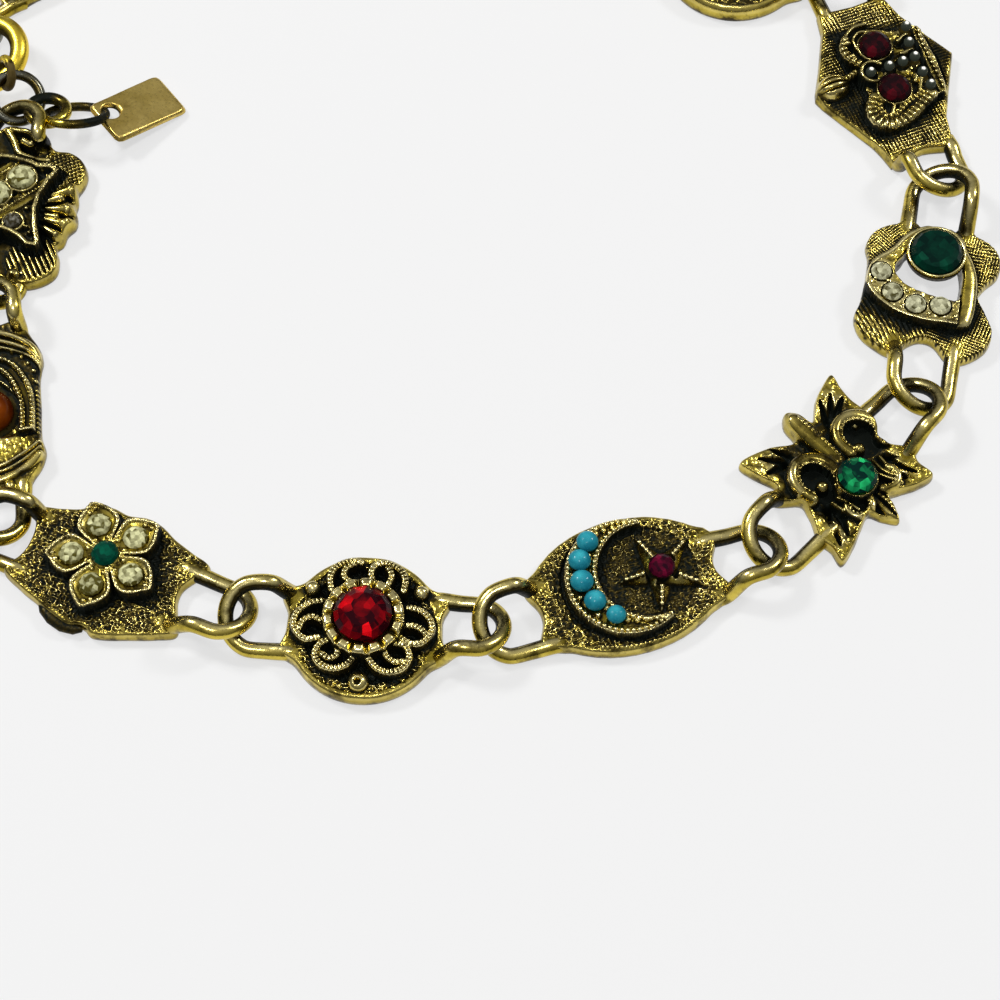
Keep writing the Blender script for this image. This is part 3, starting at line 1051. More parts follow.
def fleurHeight(x, y):
    # leaves cut by tapering veins, a stem with a beaded edge, hollow scrolls with beaded rims, and the seat
    z = 1.19 + 0.12 * speckle(x, y, 0.5) + 0.1 * speckle(x, y, 0.2, 3)
    z = z - 0.24 * np.clip((4.1 - farFrom(x, y, (0, 0.7))) / 0.9, 0, 1)
    for vein in fleur["leafVeins"]:
        distance, where = along(x, y, vein)
        z = z - 0.5 * np.exp(-(distance / (0.06 + 0.13 * where)) ** 2)
    u, v = x - fleur["flowerMiddle"][0], y - fleur["flowerMiddle"][1]
    z = wireOn(z, u, v, [(0.75, 4.95), (0.65, 4.0), (0.6, 2.6), (0.5, 1.0)], 0.62, 0.7, 1.1)
    z = beadsOn(z, u, v, [(0.95, 4.9), (1.02, 4.0), (0.95, 2.6), (0.8, 1.0)], 0.3, 0.16, 0.16, 1.66)
    z = np.where((np.abs(u - 0.1) < 0.62) & (v < -2.2), np.minimum(z, 0.85 + 0.1 * np.abs(u - 0.1)), z)
    z = wireOn(z, u, v, [(0.0, -4.2), (0.1, -3.3), (0.2, -2.0)], 0.24, 0.35, 0.95)
    z = beadsOn(z, u, v, [(0.45, -4.0), (0.62, -3.2), (0.6, -2.1)], 0.3, 0.16, 0.16, 1.2)
    for place, radius, width, start, end, squash in fleur["scrolls"]:
        inside = np.hypot(u - place[0], (v - place[1]) / squash) < radius
        z = np.where(inside, np.minimum(z, 0.75), z)
        z = wireOn(z, u, v, curl(place, radius + 0.12, start, end, squash), width, 1.2 * width, 1.35)
        rim = curl(place, radius + 0.2 - width, start, end, squash)
        z = beadsOn(z, u, v, rim, 0.3, 0.16, 0.16, 1.28 + 0.75 * width)
    z = domesOn(z, u, v, fleur["eyes"], 0.42, 0.45, 1.35)
    for vein in fleur["lowerVeins"]:
        z = wireOn(z, u, v, vein, 0.16, 0.35, 1.2)
    seat = farFrom(x, y, fleur["seat"])
    z = plateau(z, seat - 1.4, 2.0, 0.25)
    return np.where(seat < 1.28, np.minimum(z, 1.9), z)


def fleurDull(x, y):
    # more patina round the flower: 0.07 + 0.2 * (4 - distance) / 1.2
    return 0.07 + 0.2 * np.clip((4.0 - farFrom(x, y, (0.2, 0.4))) / 1.2, 0, 1)


print("fleur")
row = links["link_fleur"]
addLink("fleur", row, casting(fleur["outline"], fleur["plateMiddle"], fleurHeight, row, 230, dull=fleurDull))
addStones("fleur_emerald", [cutStone(fleur["seat"], fleur["emerald"], 2.2)], "emerald", row,
          ["fleur_stone"])

heart = {
    "seat": (2.28, -0.02), "emerald": 1.74, "chip": 0.68, "chipTones": (-0.02, -0.12, 0.04, 0.08),
    "plateMiddle": (0.9, -0.1), "shift": (-0.1, 0.28),           # chips, outline and opening move by it
    "chips": [(0.33, 3.16), (-1.12, 2.28), (-1.8, 0.68), (-1.65, -0.94)],
    "outline": [(-2.75, -2.85), (-2.0, -3.15), (-0.8, -3.25), (1.2, -3.15), (2.9, -2.45), (4.3, -1.2),
                (4.4, 0.4), (3.6, 1.7), (2.2, 2.7), (1.4, 3.6), (0.5, 4.05), (-0.5, 4.1), (-1.5, 3.5),
                (-2.4, 2.2), (-2.85, 0.6), (-2.9, -1.2)],
    "opening": [(-0.95, -2.0), (0.2, -2.2), (1.3, -2.2), (2.6, -1.7), (3.2, -0.2), (2.6, 1.5), (1.9, 1.85),
                (1.3, 2.2), (0.55, 2.2), (-0.2, 1.55), (-0.65, 0.5), (-0.9, -0.8)],
    "grains": [(-0.35, 3.75), (-0.4, 2.95), (-2.1, 1.75), (-1.0, 1.6), (-2.45, 0.0), (-1.25, 0.0),
               (-2.4, -1.7), (-1.3, -1.7)],
    # the cup's profile from the bottom outside to the floor inside, as (radius, height, dark, worn)
    "cup": [(0.9, 0.8, 1, 0), (1.6, 1.05, 1, 0), (1.95, 1.5, 0.9, 0), (2.0, 1.9, 0.5, 0),
            (1.97, 2.1, 0.1, 0.4), (1.88, 2.17, 0, 1), (1.78, 2.11, 0.1, 0.5), (1.74, 1.95, 0.9, 0),
            (1.74, 1.4, 1, 0), (0.9, 1.3, 1, 0)],
}
heartLine, heartOpening, heartChips = (
    np.array(heart[key]) + heart["shift"] for key in ("outline", "opening", "chips"))


def heartHeight(x, y):
    # lobes cut by crossing strokes, a flat heart with a raised edge, and a lower moulding across its foot
    z = np.full(x.shape, 1.13) + 0.07 * speckle(x, y, 0.25)
    upper, left = y > 0, x < 0
    strokes = 0.5 + speckle(x, y, 0.7, 9)                        # the cuts are deeper in some places
    others = 1 - strokes
    z += np.where(upper & left, (0.35 + 0.4 * strokes) * grooves(x, y, 35, 0.25, 0.15, 0.02), 0)
    cross = strokes * grooves(x, y, 85, 0.24, 0.14, -0.01) + others * grooves(x, y, -8, 0.2, 0.1)
    z += np.where(~upper & ~left, cross, 0)
    cross = strokes * grooves(x, y, 50, 0.19, 0.12) + others * grooves(x, y, -40, 0.19, 0.12)
    z += np.where(upper & ~left, cross, 0)
    cross = strokes * grooves(x, y, 75, 0.22, 0.14) + others * grooves(x, y, -15, 0.22, 0.14)
    z += np.where(~upper & left, cross, 0)
    signed = within(x, y, smoothCurve(heartLine, 64, closed=True))
    z = plateau(z, signed, 2.0, 0.22)
    band = (y < -1.9) & (signed < 0)
    z = np.where(band, np.minimum(z, 1.4 + ridge(signed + 0.55, 0.62, 0.45)), z)
    edge = lay(z, ridge(signed + 0.14, 0.14, 0.1), 1.96)
    z = np.where(band, z, edge)
    top = 1.96 + 0.08 * speckle(x, y, 0.35, 6) + 0.05 * speckle(x, y, 0.15, 7)
    z = np.where((signed < -0.3) & ~band, top, z)
    for place in heartChips:                                     # a thin moat round each chip
        z = np.where(farFrom(x, y, place) < 0.76, 1.7, z)
    return domesOn(z, x, y, heart["grains"], 0.14, 0.14, 1.96)


print("heart")
row = links["link_heart"]
lobes = np.concatenate([
    curl((2.7, 2.6), 1.95, -20, 120),
    curl((-2.6, 2.6), 2.15, 60, 200), [(-3.9, 1.0), (-3.75, 0.2), (-3.9, -0.6)],
    curl((-2.75, -2.2), 2.1, 165, 310), [(0, -3.15)],
    curl((2.6, -2.5), 1.95, 215, 375), [(4.2, -1.0), (4.35, 0.2), (4.3, 1.2)],
])
cup = np.array(heart["cup"])
addLink("heart", row, openCasting(lobes, heartOpening, heart["plateMiddle"], heartHeight, row),
        turned(cup[:, :2], heart["seat"], 72, dark=cup[:, 2], worn=cup[:, 3]))
addStones("heart_emerald", [cutStone(heart["seat"], heart["emerald"], 2.05, crown=0.3)],
          "darkEmerald", row, ["heart_stone"])
addStones("heart_chips", [cutStone(place, heart["chip"], 2.02, 6) for place in heartChips],
          "chip", row, turnEach=83, tones=heart["chipTones"])

crown = {
    "plateMiddle": (0, 0.1), "garnet": 1.13, "pearl": 0.37, "crownMiddle": (-0.5, -0.2), "orb": (0.25, 3.95),
    "seats": {"crown_stone_a": (-1.62, 0.27), "crown_stone_b": (2.12, 0.14)},
    "pearls": [(-2.0, -2.3), (-0.85, -2.2), (0.5, -2.2), (1.75, -2.3), (3.05, -2.65), (0.4, -1.25),
               (0.35, -0.2), (0.3, 1.2)],
    "outline": [(-6.5, -2.0), (-4.3, -2.6), (-3.0, -3.3), (0.5, -5.2), (2.2, -4.3), (4.5, -2.95),
                (6.5, -2.35), (6.35, 0.0), (6.5, 2.45), (5.0, 2.75), (2.2, 4.15), (0.5, 5.1), (0.05, 5.25),
                (-0.6, 5.0), (-3.0, 3.8), (-4.6, 3.0), (-5.6, 2.65), (-6.5, 2.4), (-6.3, 0.0)],
    "body": [(-2.1, -3.2), (0.6, -3.5), (3.8, -3.4), (3.7, -1.8), (4.6, 0.3), (4.3, 1.9), (2.9, 2.5),
             (1.6, 2.1), (0.5, 2.1), (-0.9, 2.2), (-2.4, 2.8), (-3.6, 2.5), (-3.9, 1.5), (-3.0, -0.2),
             (-2.3, -1.8)],
    "channel": [(-2.6, -1.85), (1.6, -1.85), (2.4, -2.1), (3.5, -2.2), (3.7, -3.1), (-2.5, -2.8)],
    "beadRow": [(-1.9, -2.98), (-0.5, -3.02), (1.0, -3.05), (2.4, -3.1), (3.7, -3.4)],
    # each braid: its points, half width, height, level, and its notches' spacing, depth, power and narrowness
    "braids": [
        ([(-2.1, -1.9), (-2.9, -0.6), (-3.55, 0.8), (-3.6, 1.8), (-2.95, 2.5), (-2.0, 2.5), (-1.2, 1.95)],
         0.48, 0.5, 1.4, 0.42, 0.35, 3, 3),
        ([(-1.5, 1.5), (-2.1, 1.95), (-2.8, 1.8), (-2.95, 1.2), (-2.45, 0.2), (-1.85, -1.3)],
         0.3, 0.45, 1.35, 0.34, 0.35, 3),
        ([(1.6, 1.7), (2.4, 2.3), (3.2, 2.4), (3.9, 2.0)], 0.34, 0.5, 1.4, 0.4, 0.4, 3),
        ([(3.7, 2.2), (4.3, 1.7), (4.65, 1.0), (4.65, 0.2)], 0.18, 0.45, 1.4),
        ([(2.9, 1.6), (3.7, 1.5), (4.1, 0.9), (3.9, 0.2)], 0.16, 0.45, 1.45),
    ],
    "bosses": [(2.35, 2.1), (3.5, 2.0)],
    "bars": [((-1.7, -1.2), (-0.4, -1.9)), ((-0.9, -1.2), (0.2, -1.9)), ((1.5, -1.2), (1.6, -2.0)),
             ((2.6, -1.4), (2.9, -2.1)), ((-2.2, 0.9), (-2.9, 1.4))],
}


def crownHeight(x, y):
    # a cross-hatched ground, lower round the crown, the crown's body with its braids, and a fluted orb on top
    strokes = 0.5 + speckle(x, y, 0.9, 12)                       # the hatching is deeper in some places
    hatching = 1.3 * strokes * grooves(x, y, 92, 0.24, 0.16)
    hatching = hatching + 1.5 * (1 - strokes) * grooves(x, y, 3, 0.25, 0.16) + 0.1 * speckle(x, y, 0.25)
    inner = np.clip((x + 4.2 + 0.35 * y) / 0.7, 0, 1) * np.clip((4.6 + 0.2 * y - x) / 0.7, 0, 1)
    inner = inner * (1 - 0.7 * np.clip((y - 2.3) / 0.5, 0, 1) * np.clip((x - 1.0) / 0.5, 0, 1))
    z = 1.15 + hatching * (1 - 0.3 * inner) - 0.25 * inner
    u, v = x - crown["crownMiddle"][0], y - crown["crownMiddle"][1]
    signed = within(u, v, crown["body"])
    z = np.where((signed > 0) & (signed < 0.3), z - 0.15, z)
    z = plateau(z, signed, 1.4, 0.2)
    z = np.where(signed < -0.1, z + 0.22 * speckle(x, y, 0.3, 4) - 0.05, z)
    z = np.where(within(x, y, crown["channel"]) < 0, 0.85, z)    # the pearls lie in a dark channel
    z = beadsOn(z, u, v, crown["beadRow"], 0.4, 0.18, 0.2, 1.4)
    for braid in crown["braids"]:
        z = wireOn(z, u, v, *braid)
    z = domesOn(z, u, v, crown["bosses"], 0.25, 0.4, 1.6)
    z = wireOn(z, u, v, curl((0.62, 1.3), 0.82, -60, 235), 0.16, 0.3, 1.8)
    z = wireOn(z, u, v, [(1.0, 3.3), (1.15, 2.7), (1.3, 2.3)], 0.28, 0.4, 1.2, notch=0.3, depth=0.5)
    for bar in crown["bars"]:
        distance, _ = along(u, v, bar)
        z = lay(z, ridge(distance, 0.2, 0.35), 1.5)
    orbX, orbY = x - crown["orb"][0], y - crown["orb"][1]
    flutes = 2 * np.pi * orbX / 0.45 / np.sqrt(np.clip(1.05 - (orbY / 1.3) ** 2, 0.2, 1))
    orb = ridge(np.hypot(orbX / 0.85, orbY), 1.15, 0.9) * (1 - 0.4 * (0.5 + 0.5 * np.cos(flutes)) ** 3)
    z = lay(z, orb, 1.1)
    for place in crown["pearls"]:
        z = np.where(farFrom(x, y, place) < 0.52, 1.0, z)
    for place in crown["seats"].values():
        distance = farFrom(x, y, place)
        z = plateau(z, distance - 1.3, 1.92, 0.22)
        z = np.where(distance < 1.14, np.minimum(z, 1.7), z)
    return z


def crownDull(x, y):
    # more patina round the crown: 0.06 + 0.1 * (5 - 4.5 * hypot(x / 4.6, y / 3.3))
    return 0.06 + 0.1 * np.clip(5 - 4.5 * np.hypot(x / 4.6, y / 3.3), 0, 1)


print("crown")
row = links["link_crown"]
addLink("crown", row, casting(crown["outline"], crown["plateMiddle"], crownHeight, row, 220, smooth=False,
                              dull=crownDull))
for node, place in crown["seats"].items():
    addStones("crown_garnet_" + node[-1], [cutStone(place, crown["garnet"], 2.0)], "garnet", row,
              [node])
pearls = [ball(place, 1.7, crown["pearl"]) for place in crown["pearls"]]
addStones("crown_pearls", pearls, "pearl", row, smooth=True)

# The lozenge's frame, ground and grains are the same turned half round. Bearings are from its middle.
lozenge = {
    "middle": (-0.35, -0.35), "plateMiddle": (-0.4, -0.65), "stone": 0.95, "chip": 0.6,
    "stonesAt": 2.0, "stonesPhase": 130.0, "chipsAt": 2.45, "chipsPhase": 34.0,
    "halfFrame": [(2, 3.2), (14, 2.9), (22, 3.25), (29, 3.9), (32, 4.7), (38, 5.2), (43, 5.0), (53, 3.8),
                  (71, 3.05), (90, 3.0), (109, 3.65), (117, 4.55), (127, 4.2), (135, 3.55), (145, 3.4),
                  (165, 3.2)],
    "halfOutline": [(5.3, -1.4), (5.4, 0.0), (5.75, 1.0), (6.05, 2.2), (5.6, 3.5), (4.9, 4.15), (3.9, 4.2),
                    (3.0, 3.95), (2.6, 4.3), (1.8, 4.55), (1.2, 5.0), (0.5, 5.0), (0.1, 4.85), (-0.7, 4.9),
                    (-1.4, 4.85), (-2.1, 5.15), (-3.0, 5.25), (-3.9, 4.8), (-4.4, 4.0), (-4.4, 3.0),
                    (-5.0, 2.4), (-5.6, 1.8)],
    # each finger: its foot and its knob
    "fingers": [((-0.5, 2.2), (-1.2, 4.5)), ((-0.1, 2.2), (-0.6, 3.8)), ((0.25, 2.2), (0.3, 4.4)),
                ((0.6, 2.2), (0.9, 3.7)), ((0.9, 2.3), (1.5, 4.5)), ((1.4, 2.5), (2.3, 3.9))],
    "bosses": [(5.5, 1.5), (-4.6, 2.9)],
    # each tendril: its points, half width, height and level
    "tendrils": [([(-6.0, -0.6), (-5.0, 0.1), (-4.0, 0.6), (-3.6, 1.6), (-3.5, 2.6)], 0.3, 0.5, 1.1),
                 ([(-5.9, -0.2), (-5.8, 0.9), (-5.2, 1.5), (-4.7, 1.3), (-4.9, 0.8)], 0.3, 0.55, 1.2)],
    "halfGrains": [(37, 4.5), (34, 3.9), (42, 3.8), (44, 3.3), (66, 2.3), (5, 1.75), (118, 3.6), (128, 3.5),
                   (95, 1.8), (152, 2.4)],
}
lozengeStones, lozengeChips = (
    [polar(share * lozenge[kind + "At"], lozenge[kind + "Phase"]) + lozenge["middle"] for share in shares]
    for kind, shares in (("stones", (-1, 0, 1)), ("chips", (-1, 1))))


def bothHalves(bearings):
    # places at (bearing, reach) from the lozenge's middle, and again turned half round
    return [polar(reach, bearing + turn) + lozenge["middle"]
            for turn in (0, 180) for bearing, reach in bearings]


def lozengeHeight(x, y):
    # scored and ribbed lobes, knobbed fingers and tendrils on both halves, and a frame with stones and beads;
    # back is across the row of stones, and rise is along it
    back, rise = aimed(x, y, lozenge["middle"], lozenge["stonesPhase"] - 90)
    z = np.full(x.shape, 0.95) + 0.05 * speckle(x, y, 0.3)
    for sign in (1, -1):
        u, v = sign * (x + 0.4) - 0.4, sign * (y + 0.65) - 0.65
        lobe = 1.2 + 0.16 * np.sqrt(np.clip(1 - ((u + 2.8) ** 2 + (v - 3.6) ** 2) / 3, 0, 1))
        lobe = lobe + grooves(u, v, 15, 0.27, 0.12) + grooves(u, v, -60, 0.27, 0.12)
        z = np.where(farFrom(u, v, (-2.8, 3.6)) < 1.75, lobe, z)
        ribs = 1.15 + 0.2 * np.sqrt(np.clip(1 - ((u - 4.3) ** 2 + (v - 2.6) ** 2) / 3.5, 0, 1))
        z = np.where(farFrom(u, v, (4.3, 2.6)) < 1.85, ribs + grooves(u, v, 28, 0.36, 0.28), z)
        z = np.where(farFrom(u, v, (0.5, 3.1)) < 1.75, 0.8, z)
        for foot, knob in lozenge["fingers"]:
            distance, where = along(u, v, [foot, knob])
            length = np.hypot(knob[0] - foot[0], knob[1] - foot[1])
            swell = (where / length) ** 3 * np.clip(length - 1.2, 0, 1)
            z = lay(z, ridge(distance, 0.2 + 0.42 * swell, 0.4 + 0.4 * swell), 1.05)
        z = domesOn(z, u, v, lozenge["bosses"], 0.5, 0.5, 1.1)
        z = np.where(farFrom(u, v, (-4.5, 1.0)) < 0.85, 0.62, z)
        for tendril in lozenge["tendrils"]:
            z = wireOn(z, u, v, *tendril)
    signed = within(x, y, bothHalves(lozenge["halfFrame"]))
    z = np.where((signed > 0) & (signed < 0.35), z - 0.3, z)
    z = plateau(z, signed, 2.0, 0.2)
    z = np.where(signed < -0.36, 1.5 + 0.1 * speckle(x, y, 0.2), z)
    z = lay(z, ridge(signed + 0.19, 0.19, 0.16), 1.98)
    turn = np.arctan2(y - lozenge["middle"][1], x - lozenge["middle"][0])
    z = np.where((signed < 0) & (signed > -0.14) & (rise > 0), z + 0.08 * np.cos(2 * np.pi * turn * 24), z)
    for offset in (-1.25, 1.25):                                 # a row of beads on each side of the stones
        inBand = (signed < -0.35) & (np.abs(back - offset) < 0.5)
        local = (rise / 0.27) % 1 * 0.27 - 0.135
        z = np.where(inBand, np.maximum(z, 1.75 + ridge(np.hypot(back - offset, local), 0.14, 0.2)), z)
    for place in lozengeStones:
        z = collarOn(z, x, y, place, 1.0, 0.13, 0.16, 1.9)
    for place in lozengeChips:
        z = collarOn(z, x, y, place, 0.68, 0.13, 0.16, 1.7)
    return domesOn(z, x, y, bothHalves(lozenge["halfGrains"]), 0.17, 0.22, 1.66)


print("lozenge")
row = links["link_lozenge"]
outline = lozenge["halfOutline"] + [(-0.8 - px, -1.3 - py) for px, py in lozenge["halfOutline"]]
addLink("lozenge", row, casting(outline, lozenge["plateMiddle"], lozengeHeight, row, 220, dull=0.12))
addStones("lozenge_stones", [cutStone(place, lozenge["stone"], 2.1) for place in lozengeStones], "clear",
          row, turnEach=40)
addStones("lozenge_chips", [cutStone(place, lozenge["chip"], 1.9, 6) for place in lozengeChips], "dimClear",
          row)

# The horseshoe link is the same on both sides of its length, so only its upper half is given.
horseshoe = {
    "seat": (0.3, 0), "amberBottom": 0.97, "amber": 1.52, "polish": 0.15,
    "halfOutline": [(6.0, 1.5), (5.2, 2.3), (4.5, 3.0), (3.4, 3.4), (2.2, 3.15), (0, 3.15), (-2.2, 3.15),
                    (-3.4, 3.4), (-4.6, 3.05), (-5.5, 2.2), (-6.1, 1.3)],
    "arches": [(0.0, 0.26, 0.42), (0.62, 0.19, 0.4), (1.08, 0.13, 0.34)],   # how far in, half width, height
    # each moulding: its points, half width, height and level
    "mouldings": [([(2.85, 3.1), (3.5, 2.2), (4.1, 1.2), (4.4, 0.4), (4.45, -0.3)], 0.17, 0.4, 1.0),
                  ([(3.2, 3.15), (3.9, 2.3), (4.5, 1.3), (4.8, 0.4), (4.85, -0.3)], 0.13, 0.36, 1.0),
                  ([(3.75, 3.1), (4.5, 2.3), (5.05, 1.4), (5.35, 0.5), (5.4, -0.3)], 0.34, 0.42, 1.0)],
    "grains": [(-4.35, 0.7), (-4.0, 1.5), (-3.6, 2.1), (-3.1, 2.5), (-2.5, 2.85), (-1.7, 3.0), (-4.5, 0.0)],
    "shoe": [(2.05, 2.9), (0, 2.9), (-1.0, 2.8), (-2.1, 2.4), (-3.1, 1.7), (-3.7, 0.8), (-3.9, 0.0),
             (-3.9, -1), (-2.8, -1), (-2.8, 0), (-2.5, 0.8), (-1.7, 1.4), (-0.8, 1.75), (0.3, 1.85),
             (2.05, 1.8)],
    "beadRows": [[(1.9, 2.7), (0, 2.72), (-0.9, 2.6), (-1.8, 2.3), (-2.8, 1.7), (-3.4, 0.9), (-3.65, 0),
                  (-3.6, -0.5)],
                 [(1.9, 2.02), (0.2, 2.05), (-0.6, 1.9), (-1.5, 1.6), (-2.3, 1.15), (-2.85, 0.5), (-3.0, 0),
                  (-2.95, -0.5)]],
    "innerLine": [(-0.3, 1.6), (-0.9, 1.45), (-1.6, 0.95), (-2.0, 0.3), (-2.05, -0.3)],
    "bosses": [(5.75, 1.15), (5.75, -1.15)],
}


def horseshoeHeight(x, y):
    # arched mouldings round a flat shoe with two beaded rows, the same for y and -y
    tall = np.abs(y)
    field = np.clip((x - 2.0) / 0.3, 0, 1)                       # the ground is higher at the open end
    z = 0.98 + 0.05 * speckle(x, y, 0.2, 9) + field * (0.14 + 0.05 * speckle(x, y, 0.12, 3))
    z = z - 0.12 * np.clip((tall - 2.75) / 0.2, 0, 1) * np.clip((2.7 - np.abs(x)) / 0.3, 0, 1)
    for inset, width, height in horseshoe["arches"]:
        arch = [(-3.3 + 0.6 * inset, 3.35), (-4.3 + inset * 0.8, 2.75),
                (-5.2 + inset, 1.5), (-5.65 + inset, 0.0), (-5.7 + inset, -0.6)]
        z = wireOn(z, x, tall, arch, width, height, 1.0)
    for moulding in horseshoe["mouldings"]:
        z = wireOn(z, x, tall, *moulding)
    z = domesOn(z, x, tall, horseshoe["grains"], 0.15, 0.16, 1.0)
    z = beadsOn(z, x, tall, [(-1.2, 3.02), (0.4, 3.04), (2.2, 3.02)], 0.34, 0.13, 0.12, 0.95)
    signed = within(x, tall, horseshoe["shoe"])
    z = plateau(z, signed, 1.28, 0.15)
    z = np.where(signed < -0.2, 1.1, z)
    for line in horseshoe["beadRows"]:
        z = wireOn(z, x, tall, line, 0.2, 0.06, 1.3)
        z = beadsOn(z, x, tall, line, 0.31, 0.16, 0.24, 1.34)
    z = wireOn(z, x, tall, [(1.95, 2.7), (2.0, 1.95)], 0.16, 0.35, 1.3)
    z = wireOn(z, x, tall, horseshoe["innerLine"], 0.1, 0.3, 1.1)
    z = domesOn(z, x, y, horseshoe["bosses"], 0.42, 0.42, 0.95)
    return np.where(farFrom(x, y, horseshoe["seat"]) < 1.95, np.minimum(z, 0.9), z)


def mirrored(side):
    # an outline from its half with y above zero: (x, y), and back again as (x, -y)
    side = np.array(side)
    return np.concatenate([side, side[::-1] * [1, -1]])


print("horseshoe")
row = links["link_horseshoe"]
outline = mirrored(horseshoe["halfOutline"])
addLink("horseshoe", row, casting(outline, (0, 0), horseshoeHeight, row, 220, polish=horseshoe["polish"]))
amberShell = cabochon(horseshoe["seat"], horseshoe["amberBottom"], horseshoe["amber"], 1.5, 40)
addStones("horseshoe_amber", [amberShell], "amber", row, ["horseshoe_stone"], smooth=True)

# Each plain link: its stone's look, whether its outline is smooth, and its outline.
plainLinks = {
    "disc": ("emerald", True, polar(5.0, np.arange(0, 360, 15))),
    "oval": ("garnet", False, cutOval((0, 0), 6.2, 4.2, -5.2, 5.2)),
    "shield": ("amber", False, mirrored([(5.2, 2.3), (3.4, 3.6), (0, 4.4), (-3.4, 3.6), (-5.2, 2.3)])),
    "cushion": ("ruby", True, mirrored([(5.1, 1.9), (3.4, 2.3), (0, 2.5), (-3.4, 2.3), (-5.1, 1.9)])),
}


def plainHeight(inner):
    # a punched ground inside a raised rim, with a round seat and a ring of beads in the middle
    def height(x, y):
        z = np.full(x.shape, 1.05) + stipple(x, y, 4, 0.14, 0.25)
        signed = within(x, y, inner)
        z = np.where(signed > 0, 1.1, z)
        z = lay(z, ridge(signed - 0.22, 0.24, 0.3), 1.1)
        distance = np.hypot(x, y)
        z = plateau(z, distance - 2.05, 1.95, 0.15)
        z = np.where(distance < 1.72, np.minimum(z, 1.75), z)
        ring = polar(2.3, np.arange(0, 360, 15))
        return beadsOn(z, x, y, ring, 0.36, 0.16, 0.2, 1.05, closed=True, finer=2)
    return height


print("plain links")
for name, (look, smooth, outline) in plainLinks.items():
    row = links["link_" + name]
    inner = outline * (1 - 0.5 / np.hypot(*outline.T))[:, None]
    addLink(name, row, casting(outline, (0, 0), plainHeight(inner), row, 130, smooth=smooth))
    addStones(name + "_cabochon", [cabochon((0, 0), 1.7, 1.7, 1.0, 40)], look, row, [name + "_stone"],
              smooth=True)

# Each ring: its middle, its radius and its wire's, the azimuth and lift of its face, where it is darkest,
# and its steps along and round the wire.
clasp = {
    "catch_ring": (-36.84, 36.95, 1.77, 2.05, 0.38, 21.65, 49.2),
    "jump_ring": (-33.2, 30.5, 1.65, 1.65, 0.36, 128, 114.2),
    "tag_jump_ring": (-31.0, 29.5, 1.6, 1.25, 0.42, 75, 76, 130),
    "tag_ring": (-29.05, 29.12, 1.57, 2.02, 0.32, 90, 52, 0),
    "spring": (-35.5, 34.15, 1.62, 2.35, 0.65, -145.5, 73.9, None, 96, 28),
    "springEnd": (-33.91, 32.05, 2.4, 0.95, 0.31, -156.9, 23, -60),
}
print("clasp and tag")
for name, look in (("catch_ring", steelGold), ("jump_ring", steelGold), ("tag_jump_ring", antiqueGold),
                   ("tag_ring", antiqueGold)):
    addPiece(name + "_wire", [wireRing(*clasp[name])], look, [name])
addPiece("spring_ring", [wireRing(*clasp["spring"]), wireRing(*clasp["springEnd"])],
         brightGold, ["clasp_ring"])

tag = {"place": (-24.92, 30.13, 0.93), "halfLength": 2.86, "halfWidth": 1.83, "thickness": 0.4, "heading": 38,
       "tilt": 13, "hole": (-1.85, 0.6), "holeRadius": 0.62, "corner": 0.4}


def tagHeight(x, y):
    # flat, but for a slight unevenness
    return np.full(x.shape, tag["thickness"]) + 0.02 * speckle(x, y, 0.8)


def tagShell():
    # a rounded rectangle with a round hole, tilted about its width, turned to its heading, and put in place
    halfLength, halfWidth, corner = tag["halfLength"], tag["halfWidth"], tag["corner"]
    outer = [curl((sx * (halfLength - corner), sy * (halfWidth - corner)), corner, start, start + 90)
             for sx, sy, start in ((1, 1, 0), (-1, 1, 90), (-1, -1, 180), (1, -1, 270))]
    hole = polar(tag["holeRadius"], np.arange(0, 360, 20)) + tag["hole"]
    part = openCasting(np.concatenate(outer), hole, tag["hole"], tagHeight, around=240, across=30,
                       smooth=False, soot=0.0)
    tilt, heading = np.radians(tag["tilt"]), np.radians(tag["heading"])
    x, y, z = part["points"].T
    z = z - tag["thickness"] / 2
    x, z = x * np.cos(tilt) + z * np.sin(tilt), z * np.cos(tilt) - x * np.sin(tilt)
    turnedX, turnedY = x * np.cos(heading) - y * np.sin(heading), x * np.sin(heading) + y * np.cos(heading)
    part["points"] = np.column_stack([turnedX, turnedY, z]) + tag["place"]
    return part


addPiece("tag_plate", [tagShell()], paleGold, ["hang_tag"])

studio = {
    "horizon": 0.025, "sky": 0.42, "floorTone": 0.22, "floorGlow": 0.638, "floorSize": 2.0,
    "floorLevel": -0.00002,
    # each softbox: azimuth and elevation in degrees, width and height in metres, and power in watts
    "lights": {"leftSoftbox": (-120, 48, (0.12, 0.09), 2.0), "rightSoftbox": (118, 42, (0.08, 0.10), 1.3),
               "frontSoftbox": (-15, 76, (0.1, 0.08), 0.8)},
    "lightDistance": 0.6,
}


def makeFloor():
    bpy.ops.mesh.primitive_plane_add(size=studio["floorSize"], location=(0, 0, studio["floorLevel"]))
    floor = bpy.context.object
    floor.name = "floor"
    material, tree, surface = newMaterial("paleFloor")
    tone = (*(studio["floorTone"],) * 3, 1)
    for key, value in (("Base Color", tone), ("Roughness", 0.6), ("Specular IOR Level", 0.1),
                       ("Emission Color", (1, 1, 1, 1)), ("Emission Strength", studio["floorGlow"])):
        surface.inputs[key].default_value = value
    floor.data.materials.append(material)


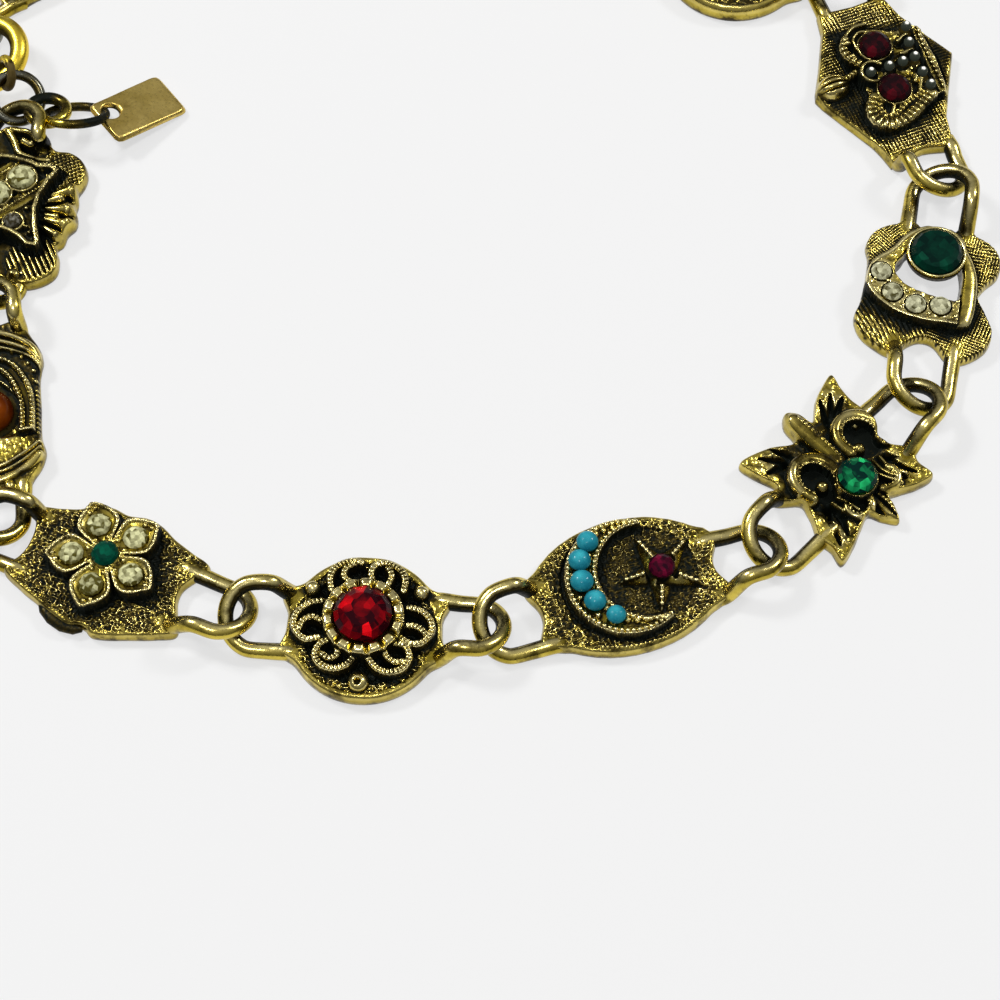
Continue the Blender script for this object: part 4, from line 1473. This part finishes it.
def makeSky():
    # a dark horizon that turns into a bright sky overhead
    world = bpy.data.worlds.new("studio")
    bpy.context.scene.world = world
    world.use_nodes = True
    tree = world.node_tree
    place = tree.nodes.new("ShaderNodeTexCoord")
    split = tree.nodes.new("ShaderNodeSeparateXYZ")
    tree.links.new(place.outputs["Generated"], split.inputs[0])
    ramp = tree.nodes.new("ShaderNodeValToRGB")
    for element, position, key in zip(ramp.color_ramp.elements, (0.05, 0.9), ("horizon", "sky")):
        element.position = position
        element.color = (*(studio[key],) * 3, 1)
    tree.links.new(split.outputs["Z"], ramp.inputs["Fac"])
    tree.links.new(ramp.outputs["Color"], tree.nodes["Background"].inputs["Color"])


def areaLight(name, azimuth, elevation, size, power):
    # a softbox that looks at the origin from its azimuth, elevation and distance
    turn, lift = np.radians(azimuth), np.radians(elevation)
    away = Vector((np.cos(lift) * np.sin(turn), -np.cos(lift) * np.cos(turn), np.sin(lift)))
    light = bpy.data.lights.new(name, "AREA")
    light.shape = "RECTANGLE"
    light.size, light.size_y = size
    light.energy = power
    holder = bpy.data.objects.new(name, light)
    bpy.context.scene.collection.objects.link(holder)
    holder.location = away * studio["lightDistance"]
    holder.rotation_euler = (-away).to_track_quat("-Z", "Y").to_euler()


print("studio")
makeFloor()
makeSky()
for name, settings in studio["lights"].items():
    areaLight(name, *settings)

view = {"elevation": 64.0, "target": (0.0, 0.0, 1.2), "distance": 158.75, "lens": 90.0, "sensor": 36,
        "nearest": 0.01}
camera = bpy.data.objects.new("camera", bpy.data.cameras.new("camera"))
bpy.context.scene.collection.objects.link(camera)
elevation = np.radians(view["elevation"])
away = view["distance"] * np.array([0, -np.cos(elevation), np.sin(elevation)])
camera.location = (np.array(view["target"]) + planShift + away) * metre
camera.rotation_euler = (np.pi / 2 - elevation, 0, 0)
camera.data.sensor_width = view["sensor"]
camera.data.lens = view["lens"]
camera.data.clip_start = view["nearest"]
bpy.context.scene.camera = camera
bpy.context.scene.view_settings.view_transform = "Standard"
